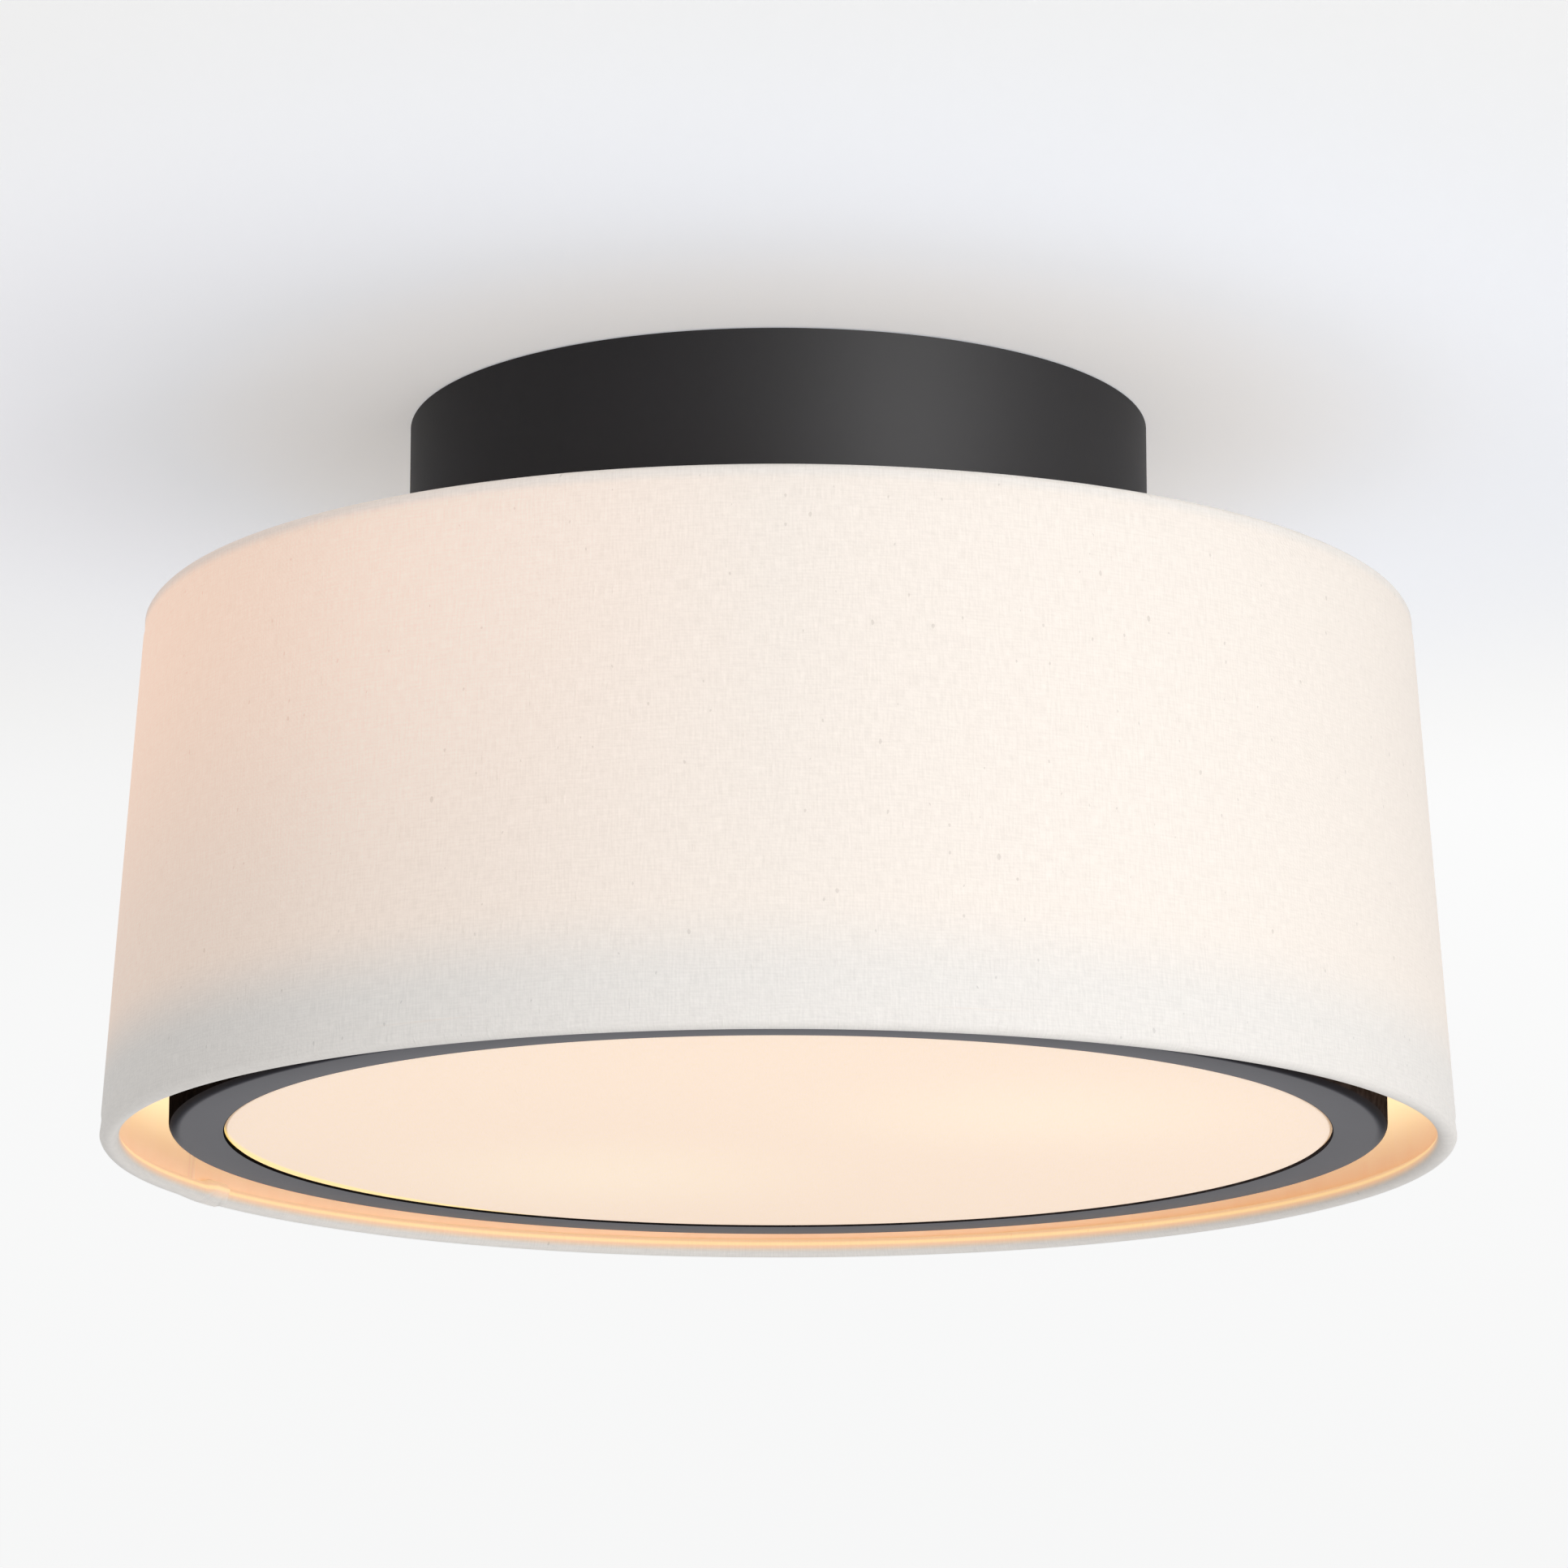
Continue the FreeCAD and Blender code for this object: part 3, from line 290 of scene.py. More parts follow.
def metal(name, colour, roughness, wear, grain=0.00004):
    """A metal finish with the marks of handling."""
    material, tree, shader, place = principled(name, colour, roughness, 1.0)
    marks = add(tree, "ShaderNodeGroup", {"Place": place, "Wear": wear}, node_tree=PLATED)
    tree.links.new(toned(tree, colour, marks.outputs["Tone"]), shader.inputs["Base Color"])
    tree.links.new(math_node(tree, "ADD", marks.outputs["Roughness"], roughness), shader.inputs["Roughness"])
    bump(tree, shader, marks.outputs["Height"], grain, 0.5)
    return material


def dress(material, *nodes):
    """Gives pieces that keep their own shape a finish."""
    for node in nodes:
        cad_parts[node].material_slots[0].material = material


def turned(outline, steps=192, shape=None, angles=None):
    """Points and faces of an outline of (radius, height) points turned about the vertical axis. An outline
    that leaves the axis and comes back to it is a solid of its own; any other is closed from its last point
    to its first. shape may move a point: it takes the angle, radius and height and returns the last two."""
    angles = angles or [2 * math.pi * i / steps for i in range(steps)]
    steps = len(angles)
    points = []
    rings = []
    for radius, height in outline:
        if radius == 0:
            rings.append([len(points)])
            points.append((0, 0, height))
            continue
        rings.append(list(range(len(points), len(points) + steps)))
        for angle in angles:
            r, z = shape(angle, radius, height) if shape else (radius, height)
            points.append((r * math.cos(angle), r * math.sin(angle), z))
    pairs = list(zip(rings, rings[1:]))
    if len(rings[0]) > 1 and len(rings[-1]) > 1:
        pairs.append((rings[-1], rings[0]))
    faces = []
    for one, other in pairs:
        for i in range(steps):
            j = (i + 1) % steps
            face = (one[i % len(one)], one[j % len(one)], other[j % len(other)], other[i % len(other)])
            faces.append(tuple(dict.fromkeys(face)))
    return points, faces


def closed_up(mesh, crease):
    """Merges the points of a mesh that meet, turns its faces outward and smooths all but its creases."""
    work = bmesh.new()
    work.from_mesh(mesh)
    bmesh.ops.remove_doubles(work, verts=work.verts, dist=1e-7)
    bmesh.ops.recalc_face_normals(work, faces=work.faces)
    work.to_mesh(mesh)
    work.free()
    mesh.shade_smooth()
    mesh.set_sharp_from_angle(angle=math.radians(crease))


def make_piece(name, points, faces, material, body, slot, *nodes, crease=35):
    """A new piece of the light from its points and faces, which stands for CAD nodes."""
    mesh = bpy.data.meshes.new(name)
    mesh.from_pydata(points, [], faces)
    closed_up(mesh, crease)
    mesh.materials.append(material)
    thing = bpy.data.objects.new(name, mesh)
    bpy.context.scene.collection.objects.link(thing)
    return settle(thing, body, slot, *nodes)


def settle(thing, body, slot, *nodes):
    """Joins a finished piece to its body and hides the nodes that it stands for; its slot is not used."""
    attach(thing, body)
    if nodes:
        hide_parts(*nodes)
    return thing


def screw_thread_tree():
    """A node tree for a row of rods with a right-hand thread of one start, chamfered at both ends. It bends
    a grid into a tube whose radius follows the thread, and draws in its first and last rows to close the
    ends."""
    tree = bpy.data.node_groups.new("screw_thread", "GeometryNodeTree")
    for label, kind in (("Radius", "Float"), ("Depth", "Float"), ("Pitch", "Float"), ("Chamfer", "Float"),
                        ("Low", "Float"), ("High", "Float"), ("Rows", "Int"), ("Steps", "Int"),
                        ("Count", "Int"), ("First", "Vector"), ("Spacing", "Vector"), ("Finish", "Material")):
        tree.interface.new_socket(label, in_out="INPUT", socket_type="NodeSocket" + kind)
    tree.interface.new_socket("Rods", in_out="OUTPUT", socket_type="NodeSocketGeometry")
    given = tree.nodes.new("NodeGroupInput").outputs
    grid = add(tree, "GeometryNodeMeshGrid", {"Size X": 1.0, "Size Y": 1.0, "Vertices X": given["Rows"],
                                              "Vertices Y": given["Steps"]})
    place = add(tree, "ShaderNodeSeparateXYZ", {0: add(tree, "GeometryNodeInputPosition").outputs[0]})
    along = math_node(tree, "ADD", place.outputs["X"], 0.5)
    turn = math_node(tree, "ADD", place.outputs["Y"], 0.5)
    height = math_node(tree, "ADD", given["Low"], math_node(
        tree, "MULTIPLY", along, math_node(tree, "SUBTRACT", given["High"], given["Low"])))
    turns_up = math_node(tree, "SUBTRACT", math_node(tree, "DIVIDE", height, given["Pitch"]), turn)
    phase = math_node(tree, "FRACT", math_node(tree, "ADD", turns_up, 1000.0))
    groove = math_node(tree, "SUBTRACT", 1.0, math_node(tree, "ABSOLUTE", math_node(
        tree, "SUBTRACT", math_node(tree, "MULTIPLY", phase, 2.0), 1.0)))
    from_end = math_node(tree, "MINIMUM", math_node(tree, "SUBTRACT", height, given["Low"]),
                         math_node(tree, "SUBTRACT", given["High"], height))
    drawn_in = math_node(tree, "SUBTRACT", 1.0, math_node(
        tree, "MINIMUM", math_node(tree, "DIVIDE", from_end, given["Chamfer"]), 1.0))
    radius = math_node(tree, "SUBTRACT", given["Radius"], math_node(
        tree, "MULTIPLY", given["Depth"], math_node(tree, "ADD", groove, drawn_in)))
    end_row = math_node(tree, "GREATER_THAN", math_node(
        tree, "MULTIPLY", along, math_node(tree, "SUBTRACT", 1.0, along)), 1e-5)
    radius = math_node(tree, "MULTIPLY", radius, end_row)
    angle = math_node(tree, "MULTIPLY", turn, 2 * math.pi)
    bent = add(tree, "ShaderNodeCombineXYZ", {
        "X": math_node(tree, "MULTIPLY", radius, math_node(tree, "COSINE", angle)),
        "Y": math_node(tree, "MULTIPLY", radius, math_node(tree, "SINE", angle)), "Z": height})
    tube = add(tree, "GeometryNodeSetPosition", {"Geometry": grid.outputs["Mesh"],
                                                 "Position": bent.outputs[0]})
    rod = add(tree, "GeometryNodeMergeByDistance", {"Geometry": tube.outputs[0], "Distance": 1e-6})
    row = add(tree, "GeometryNodeMeshLine", {"Count": given["Count"], "Start Location": given["First"],
                                             "Offset": given["Spacing"]})
    rods = add(tree, "GeometryNodeInstanceOnPoints", {"Points": row.outputs[0], "Instance": rod.outputs[0]})
    whole = add(tree, "GeometryNodeRealizeInstances", {"Geometry": rods.outputs[0]})
    finished = add(tree, "GeometryNodeSetMaterial", {"Geometry": whole.outputs[0],
                                                     "Material": given["Finish"]})
    add(tree, "NodeGroupOutput", {0: finished.outputs[0]})
    return tree


def grown(name, tree, body, slot, *nodes, **inputs):
    """A piece of the light that a node tree grows from its inputs, as a plain mesh."""
    thing = bpy.data.objects.new(name, bpy.data.meshes.new(name))
    bpy.context.scene.collection.objects.link(thing)
    modifier = thing.modifiers.new(name, "NODES")
    modifier.node_group = tree
    for socket in tree.interface.items_tree:
        if socket.in_out == "INPUT":
            modifier[socket.identifier] = inputs[socket.name]
    seen = thing.evaluated_get(bpy.context.evaluated_depsgraph_get())
    mesh = bpy.data.meshes.new_from_object(seen)
    thing.modifiers.clear()
    thing.data = mesh
    closed_up(mesh, 60)
    return settle(thing, body, slot, *nodes)


zinc = metal("zinc_plate", ZINC, 0.34, 0.6)
green_screw = metal("green_chromate", GREEN_CHROMATE, 0.38, 0.4)
dress(zinc, "ceiling_crossbar", "stud_lock_nuts")
dress(green_screw, "ground_screws")

stud_low, stud_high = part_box("crossbar_studs")
stud_radius = stud_high.x
stud_height = stud_high.z - stud_low.z
grown("threaded_studs", screw_thread_tree(), "fixture", "zinc_steel", "crossbar_studs",
      Radius=stud_radius, Depth=STUD_THREAD_DEPTH, Pitch=STUD_PITCH, Chamfer=STUD_CHAMFER,
      Low=0.0, High=stud_height, Rows=round(stud_height / STUD_PITCH * STUD_CUTS), Steps=STUD_FACETS + 1,
      Count=2, First=(0.0, stud_low.y + stud_radius, stud_low.z),
      Spacing=(0.0, stud_high.y - stud_low.y - 2 * stud_radius, 0.0), Finish=zinc)

# ---- Canopy ----
# A pan spun from 1.2 mm steel sheet, open against the ceiling and rounded at its lower edge, with a matte
# black powder coat. Two fluted cap nuts on the studs hold it up.
SHEET = 0.0012
CANOPY_EDGE = 0.005
BLACK_COAT = (0.0080, 0.0072, 0.0088)
NIPPLE_HOLE = 0.0051
COAT_GRAIN = 0.00055


def sprayed_coat_group():
    """Orange peel, fine grit and faint clouds of a baked spray coat."""
    group, start, end = shader_group("sprayed_coat", [("Place", "NodeSocketVector", None),
                                                      ("Grit", "NodeSocketFloat", 0.5)], ("Tone", "Height"))
    place = start.outputs["Place"]
    peel = noise(group, place, 0.0016, 2.0)
    grit = noise(group, place, COAT_GRAIN, 2.0, 0.6)
    clouds = noise(group, place, 0.03, 3.0)
    rough = math_node(group, "MULTIPLY", grit, start.outputs["Grit"])
    group.links.new(math_node(group, "ADD", peel, rough), end.inputs["Height"])
    group.links.new(spread(group, clouds, 0.3, 0.7, 0.94, 1.06), end.inputs["Tone"])
    return group


SPRAYED = sprayed_coat_group()


def painted(name, colour, roughness, grit, **sockets):
    """A sprayed and baked paint."""
    material, tree, shader, place = principled(name, colour, roughness, 0.0, **sockets)
    coat = add(tree, "ShaderNodeGroup", {"Place": place, "Grit": grit}, node_tree=SPRAYED)
    tree.links.new(toned(tree, colour, coat.outputs["Tone"]), shader.inputs["Base Color"])
    bump(tree, shader, coat.outputs["Height"], 0.00005, 0.35)
    return material


def rounded(corners, steps=6):
    """An outline from (radius, height, corner radius) points, with an arc where that radius isn't zero."""
    outline = []
    for i, (r, z, bend) in enumerate(corners):
        here = Vector((r, z))
        if bend == 0:
            outline.append((r, z))
            continue
        back = (Vector(corners[i - 1][:2]) - here).normalized()
        on = (Vector(corners[(i + 1) % len(corners)][:2]) - here).normalized()
        half = math.acos(max(-1.0, min(1.0, back.dot(on)))) / 2
        centre = here + (back + on).normalized() * bend / math.sin(half)
        first = here + back * bend / math.tan(half) - centre
        last = here + on * bend / math.tan(half) - centre
        start = math.atan2(first.y, first.x)
        turn = (math.atan2(last.y, last.x) - start + math.pi) % (2 * math.pi) - math.pi
        for k in range(steps + 1):
            angle = start + turn * k / steps
            outline.append((centre.x + bend * math.cos(angle), centre.y + bend * math.sin(angle)))
    return outline


black_coat = painted("black_powder_coat", BLACK_COAT, 0.66, 0.6, Specular_IOR_Level=0.27)
canopy_low, canopy_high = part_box("canopy")
canopy_radius = canopy_high.x
canopy_inside = canopy_radius - SHEET
pan = rounded([
    (NIPPLE_HOLE, canopy_low.z, 0),
    (canopy_radius, canopy_low.z, CANOPY_EDGE),
    (canopy_radius, canopy_high.z, SHEET * 0.1),
    (canopy_inside, canopy_high.z, SHEET * 0.1),
    (canopy_inside, canopy_low.z + SHEET, CANOPY_EDGE - SHEET),
    (NIPPLE_HOLE, canopy_low.z + SHEET, 0),
])
make_piece("canopy_pan", *turned(pan, 288), black_coat, "fixture", "black_powder_coat", "canopy")
dress(black_coat, "canopy_cap_nuts")

# ---- Insulation pad and ground lead ----
# A glass fibre pad lies on the canopy's floor, and a green lead joins the strap to the canopy.
GLASS_FIBRE = (0.80, 0.79, 0.72)
LEAD_GREEN = (0.045, 0.27, 0.10)


def moulded_plastic_group():
    """Faint flow marks and the fine skin of a moulded plastic."""
    group, start, end = shader_group("moulded_plastic", [("Place", "NodeSocketVector", None)],
                                     ("Tone", "Roughness", "Height"))
    place = start.outputs["Place"]
    flow = noise(group, stretched(group, place, 1.0, 1.0, 0.3), 0.009, 3.0)
    skin = noise(group, place, 0.0004, 2.0)
    group.links.new(spread(group, flow, 0.3, 0.7, 0.965, 1.03), end.inputs["Tone"])
    group.links.new(spread(group, flow, 0.3, 0.7, -0.03, 0.05), end.inputs["Roughness"])
    group.links.new(skin, end.inputs["Height"])
    return group


MOULDED = moulded_plastic_group()


def plastic(name, colour, roughness, grain=0.00002, **sockets):
    """A moulded or extruded plastic."""
    material, tree, shader, place = principled(name, colour, roughness, 0.0, **sockets)
    skin = add(tree, "ShaderNodeGroup", {"Place": place}, node_tree=MOULDED)
    tree.links.new(toned(tree, colour, skin.outputs["Tone"]), shader.inputs["Base Color"])
    tree.links.new(math_node(tree, "ADD", skin.outputs["Roughness"], roughness), shader.inputs["Roughness"])
    bump(tree, shader, skin.outputs["Height"], grain, 0.5)
    return material


felt, felt_tree, felt_shader, felt_place = principled("glass_fibre_felt", GLASS_FIBRE, 0.95)
fibres = noise(felt_tree, stretched(felt_tree, felt_place, 1.0, 0.15, 1.0), 0.0006, 4.0, 0.7)
cross_fibres = noise(felt_tree, stretched(felt_tree, felt_place, 0.15, 1.0, 1.0), 0.0006, 4.0, 0.7)
felt_height = math_node(felt_tree, "MAXIMUM", fibres, cross_fibres)
felt_tree.links.new(toned(felt_tree, GLASS_FIBRE, spread(felt_tree, felt_height, 0.4, 0.75, 0.80, 1.08)),
                    felt_shader.inputs["Base Color"])
bump(felt_tree, felt_shader, felt_height, 0.0006)
dress(felt, "insulation_pad")
dress(plastic("green_lead", LEAD_GREEN, 0.42), "ground_lead")

# ---- Nipple, nuts, washers and bushings ----
# A hollow threaded tube clamps the canopy, spider, carrier and bracket between two nuts, each on a toothed
# washer, and nylon bushings keep its ends off the leads.
NYLON = (0.86, 0.85, 0.80)
dress(zinc, "center_nipple", "nipple_top_washer", "nipple_top_nut", "bracket_washer", "bracket_nut")
dress(plastic("natural_nylon", NYLON, 0.40, Subsurface_Weight=0.15, Subsurface_Scale=0.001),
      "nipple_bushings")

# ---- Spider and hoops ----
# A hub washer with three steel spokes welded to the shade's top hoop, and the two wire hoops that stretch the
# shade, all in white paint.
WHITE_PAINT = (0.82, 0.81, 0.775)
white_paint = painted("white_paint", WHITE_PAINT, 0.40, 0.3)
dress(white_paint, "spider_washer", "spider_spokes", "shade_top_ring", "shade_bottom_ring")

# ---- Hardback of the shade ----
# A white styrene sheet rolled to the shade's taper, its ends lapped in a glued vertical seam. Its inner wall
# carries a painted peach glow that stands for the lamps' light. The glow is strongest a little above the
# lower rim and fades higher up. Along the two glue lines of the seam the painted glow is a little darker, a
# painted shade.
LINEN = 0.0005
LINER = 0.0005
HEM_RADIUS = 0.0027
SEAM_START = math.radians(151.4)
SEAM_END = math.radians(155.4)
SEAM_EDGE = math.radians(0.10)
GLUE_LINES = (math.radians(155.5), math.radians(156.1))
GLUE_LINE_HALF = 0.0026
GLUE_LINE_SHADE = 0.74
STYRENE = (0.76, 0.73, 0.68)
WALL_GLOW_LOW = (0.455, 0.17, 0.035)
WALL_GLOW_RING = (0.88, 0.63, 0.32)
WALL_GLOW_TOP = (0.06, 0.03, 0.012)
WALL_GLOW_RISE = (0.002, 0.025)
WALL_GLOW_FALL = (0.0452, 0.1002)


def hoop(node):
    """The radius and height of a wire hoop's centre line."""
    low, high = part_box(node)
    wire = (high.z - low.z) / 2
    return Vector((high.x - wire, (high.z + low.z) / 2))


upper_hoop = hoop("shade_top_ring")
lower_hoop = hoop("shade_bottom_ring")
wall_way = (lower_hoop - upper_hoop).normalized()
wall_out = Vector((-wall_way.y, wall_way.x))
wall_length = (lower_hoop - upper_hoop).length


def on_wall(out, down):
    """A (radius, height) point of the shade's section, out from and down along the line between the hoops."""
    return upper_hoop + wall_out * out + wall_way * down


def with_seam(steps, start, end):
    """Angles all round, with close pairs at both edges of a seam."""
    even = [2 * math.pi * i / steps for i in range(steps)]
    edges = [start - SEAM_EDGE, start + SEAM_EDGE, end - SEAM_EDGE, end + SEAM_EDGE]
    return sorted([a for a in even if all(abs(a - e) > 0.003 for e in edges)] + edges)


styrene, styrene_tree, styrene_shader, styrene_place = principled("white_styrene", STYRENE, 0.48)
styrene_xyz = add(styrene_tree, "ShaderNodeSeparateXYZ", {0: styrene_place})
styrene_z = styrene_xyz.outputs["Z"]
styrene_skin = add(styrene_tree, "ShaderNodeGroup", {"Place": styrene_place}, node_tree=MOULDED)
styrene_rise = spread(styrene_tree, styrene_z, *(lower_hoop.y + up for up in WALL_GLOW_RISE))
styrene_fall = spread(styrene_tree, styrene_z, *(cad_box[0].z + up for up in WALL_GLOW_FALL))
styrene_low = add(styrene_tree, "ShaderNodeMix",
                  {0: styrene_rise, 6: (*WALL_GLOW_LOW, 1), 7: (*WALL_GLOW_RING, 1)},
                  data_type="RGBA").outputs[2]
styrene_top = add(styrene_tree, "ShaderNodeMix", {0: styrene_fall, 6: styrene_low, 7: (*WALL_GLOW_TOP, 1)},
                  data_type="RGBA").outputs[2]
# Painted shade: the painted glow is a little darker along the two glue lines of the seam.
styrene_turn = math_node(styrene_tree, "ARCTAN2", styrene_xyz.outputs["Y"], styrene_xyz.outputs["X"])
glue_line_shade = 1.0
for line in GLUE_LINES:
    aside = math_node(styrene_tree, "ABSOLUTE", math_node(styrene_tree, "SUBTRACT", styrene_turn, line))
    line_shade = spread(styrene_tree, aside, GLUE_LINE_HALF * 0.5, GLUE_LINE_HALF * 1.5, GLUE_LINE_SHADE, 1.0)
    glue_line_shade = math_node(styrene_tree, "MULTIPLY", glue_line_shade, line_shade)
styrene_top = toned(styrene_tree, styrene_top, glue_line_shade)
styrene_tree.links.new(toned(styrene_tree, STYRENE, styrene_skin.outputs["Tone"]),
                       styrene_shader.inputs["Base Color"])
styrene_tree.links.new(styrene_top, styrene_shader.inputs["Emission Color"])
styrene_shader.inputs["Emission Strength"].default_value = 1.0
bump(styrene_tree, styrene_shader, styrene_skin.outputs["Height"], 0.00002, 0.5)

liner_outside = HEM_RADIUS - LINEN
liner_inside = liner_outside - LINER


def lapped(angle, radius, height):
    """Moves the inner face in by one more sheet where the ends of the sheet lap."""
    inner = radius < on_wall(liner_outside - LINER / 2, (upper_hoop.y - height) / -wall_way.y).x
    if inner and SEAM_START < angle < SEAM_END:
        radius -= LINER
    return radius, height


liner_rows = 24
liner_outline = [on_wall(liner_outside, wall_length * i / liner_rows) for i in range(liner_rows + 1)]
liner_outline += [on_wall(liner_inside, wall_length * (1 - i / liner_rows)) for i in range(liner_rows + 1)]
liner_angles = with_seam(256, SEAM_START, SEAM_END)
make_piece("shade_hardback", *turned(liner_outline, shape=lapped, angles=liner_angles), styrene, "fixture",
           "shade_styrene", "shade_liner")

# ---- Linen of the shade ----
# Off-white plain-weave linen glued over the hardback and rolled round the hoops at both rims, its end turned
# under and lapped over the seam. A painted warm glow stands for the lamps' light through it and is stronger
# on the left. The glow is left off the rolled rims and off the low part, where the ring shades it. The inner
# lip of the lower rim has its own painted glow over a painted darker colour.
LINEN_COLOUR = (0.845, 0.812, 0.775)
WARP_PITCH = 0.00078
WEFT_PITCH = 0.00072
GLOW_EVEN = (0.085, 0.038, 0.002)
GLOW_SIDE = (0.260, 0.086, 0.012)
HEM_LIP_GLOW = (0.64, 0.36, 0.165)
HEM_EDGE_GLOW = (0.20, 0.155, 0.04)
LIP_PAINTED_SHADE = 0.45
HEM_DROP = 0.00045
LOW_GLOW_FADE = (0.0117, 0.0357)
TOP_GLOW_FADE = (0.1462, 0.1492)
SIDE_GLOW_RISE = (0.0052, 0.1402)
LIP_INNER = (-0.0006, 0.0002)
LIP_RISE = (-0.0018, 0.0004)
LIP_WIDTH = (0.0018, 0.0022)
LIP_SILL = (0.0006, 0.0010)
LIP_END = (0.0032, 0.0036)
EDGE_START = (0.0001, 0.0008)
EDGE_STOP = (0.0012, 0.0020)
HEM_BEAD = 0.00012
HEM_GROOVE = 0.00030
HEM_ZONE = 0.008
HEM_WAVES = ((0.00012, 7, 0.6), (0.00008, 17, 2.1))
LAP_INWARD = 0.0026
LAP_UPWARD = 0.0024
FOLD_DROP = 0.0005


def plain_weave_group():
    """Over-and-under threads, uneven yarn, slubs and flecks of a plain weave, on a map in metres."""
    group, start, end = shader_group("plain_weave", [("Place", "NodeSocketVector", None),
                                                     ("Warp", "NodeSocketFloat", WARP_PITCH),
                                                     ("Weft", "NodeSocketFloat", WEFT_PITCH)],
                                     ("Height", "Tone", "Fleck"))
    place = start.outputs["Place"]
    flat = add(group, "ShaderNodeSeparateXYZ", {0: place})
    lean = math_node(group, "MULTIPLY", math_node(group, "SUBTRACT", noise(group, place, 0.012), 0.5), 0.0010)
    across = math_node(group, "ADD", flat.outputs["X"], lean)
    up = math_node(group, "ADD", flat.outputs["Y"], lean)
    warp = math_node(group, "SINE", math_node(
        group, "DIVIDE", across, math_node(group, "MULTIPLY", start.outputs["Warp"], 1 / math.pi)))
    weft = math_node(group, "SINE", math_node(
        group, "DIVIDE", up, math_node(group, "MULTIPLY", start.outputs["Weft"], 1 / math.pi)))
    crossing = math_node(group, "MULTIPLY", warp, weft)
    warp_yarn = noise(group, stretched(group, place, 1.0, 0.10, 1.0), 0.0005, 2.0)
    weft_yarn = noise(group, stretched(group, place, 0.10, 1.0, 1.0), 0.0005, 2.0)
    yarn = math_node(group, "ADD", math_node(group, "MULTIPLY", warp_yarn, 0.56),
                     math_node(group, "MULTIPLY", weft_yarn, 0.44))
    slub = spread(group, noise(group, stretched(group, place, 1.0, 0.16, 1.0), 0.0011, 1.0), 0.70, 0.78)
    fleck = spread(group, noise(group, stretched(group, place, 1.0, 0.6, 1.0), 0.0016, 0.0), 0.825, 0.860)
    height = math_node(group, "ADD", math_node(group, "MULTIPLY", crossing, 0.25), yarn)
    group.links.new(math_node(group, "ADD", height, slub), end.inputs["Height"])
    group.links.new(spread(group, yarn, 0.34, 0.66, 0.93, 1.04, "LINEAR"), end.inputs["Tone"])
    group.links.new(fleck, end.inputs["Fleck"])
    return group


WEAVE = plain_weave_group()


def lay_cloth_map(thing, centre_radius, flat=False):
    """Gives a round cloth a map in metres: round and down for a shade, across and along for a disc."""
    layer = thing.data.uv_layers.new(name="cloth")
    for polygon in thing.data.polygons:
        middle = polygon.center
        base = math.atan2(middle.y, middle.x)
        for loop in polygon.loop_indices:
            point = thing.data.vertices[thing.data.loops[loop].vertex_index].co
            if flat:
                layer.data[loop].uv = (point.x, point.y)
                continue
            turn = math.atan2(point.y, point.x)
            turn += 2 * math.pi * round((base - turn) / (2 * math.pi))
            layer.data[loop].uv = (turn * centre_radius, point.z)


linen, linen_tree, linen_shader, linen_place = principled(
    "plain_weave_linen", LINEN_COLOUR, 0.86, Sheen_Weight=0.12, Sheen_Roughness=0.5, Emission_Strength=1.0)
linen_map = add(linen_tree, "ShaderNodeUVMap", uv_map="cloth").outputs[0]
linen_weave = add(linen_tree, "ShaderNodeGroup", {"Place": linen_map}, node_tree=WEAVE)
linen_xyz = add(linen_tree, "ShaderNodeSeparateXYZ", {0: linen_place})
linen_radius = add(linen_tree, "ShaderNodeVectorMath", {0: stretched(linen_tree, linen_place, 1.0, 1.0, 0.0)},
                   operation="LENGTH").outputs["Value"]
linen_left = math_node(linen_tree, "DIVIDE", linen_xyz.outputs["X"],
                       math_node(linen_tree, "MULTIPLY", linen_radius, -1.0))
linen_side = math_node(linen_tree, "MAXIMUM", linen_left, 0.0)
hem_z = lower_hoop.y - HEM_DROP


def past(value, base, reach, new_low=0.0, new_high=1.0):
    """A mask of the linen that changes over a reach of two distances past a base."""
    return spread(linen_tree, value, base + reach[0], base + reach[1], new_low, new_high)


linen_z = linen_xyz.outputs["Z"]
low_fade = past(linen_z, cad_box[0].z, LOW_GLOW_FADE)
top_fade = past(linen_z, cad_box[0].z, TOP_GLOW_FADE, 1.0, 0.40)
glow_mask = math_node(linen_tree, "MULTIPLY", low_fade, top_fade)
side_fall = past(linen_z, cad_box[0].z, SIDE_GLOW_RISE, 0.30, 1.0)
side_mask = math_node(linen_tree, "MULTIPLY", glow_mask, side_fall)
side_mask = math_node(linen_tree, "MULTIPLY", side_mask, linen_side)
even_glow = toned(linen_tree, GLOW_EVEN, glow_mask)
side_glow = toned(linen_tree, GLOW_SIDE, side_mask)
outer_glow = add(linen_tree, "ShaderNodeVectorMath", {0: even_glow, 1: side_glow}, operation="ADD").outputs[0]
lip_inner = past(linen_radius, lower_hoop.x, LIP_INNER, 1.0, 0.0)
lip_face = math_node(linen_tree, "MULTIPLY", lip_inner, past(linen_z, hem_z, LIP_RISE))
lip_top = math_node(linen_tree, "MULTIPLY", past(linen_radius, lower_hoop.x, LIP_WIDTH, 1.0, 0.0),
                    past(linen_z, hem_z, LIP_SILL))
lip = math_node(linen_tree, "MULTIPLY", past(linen_z, hem_z, LIP_END, 1.0, 0.0),
                math_node(linen_tree, "MAXIMUM", lip_top, lip_face))
edge_line = math_node(linen_tree, "MULTIPLY", past(linen_z, hem_z, EDGE_START),
                      past(linen_z, hem_z, EDGE_STOP, 1.0, 0.0))
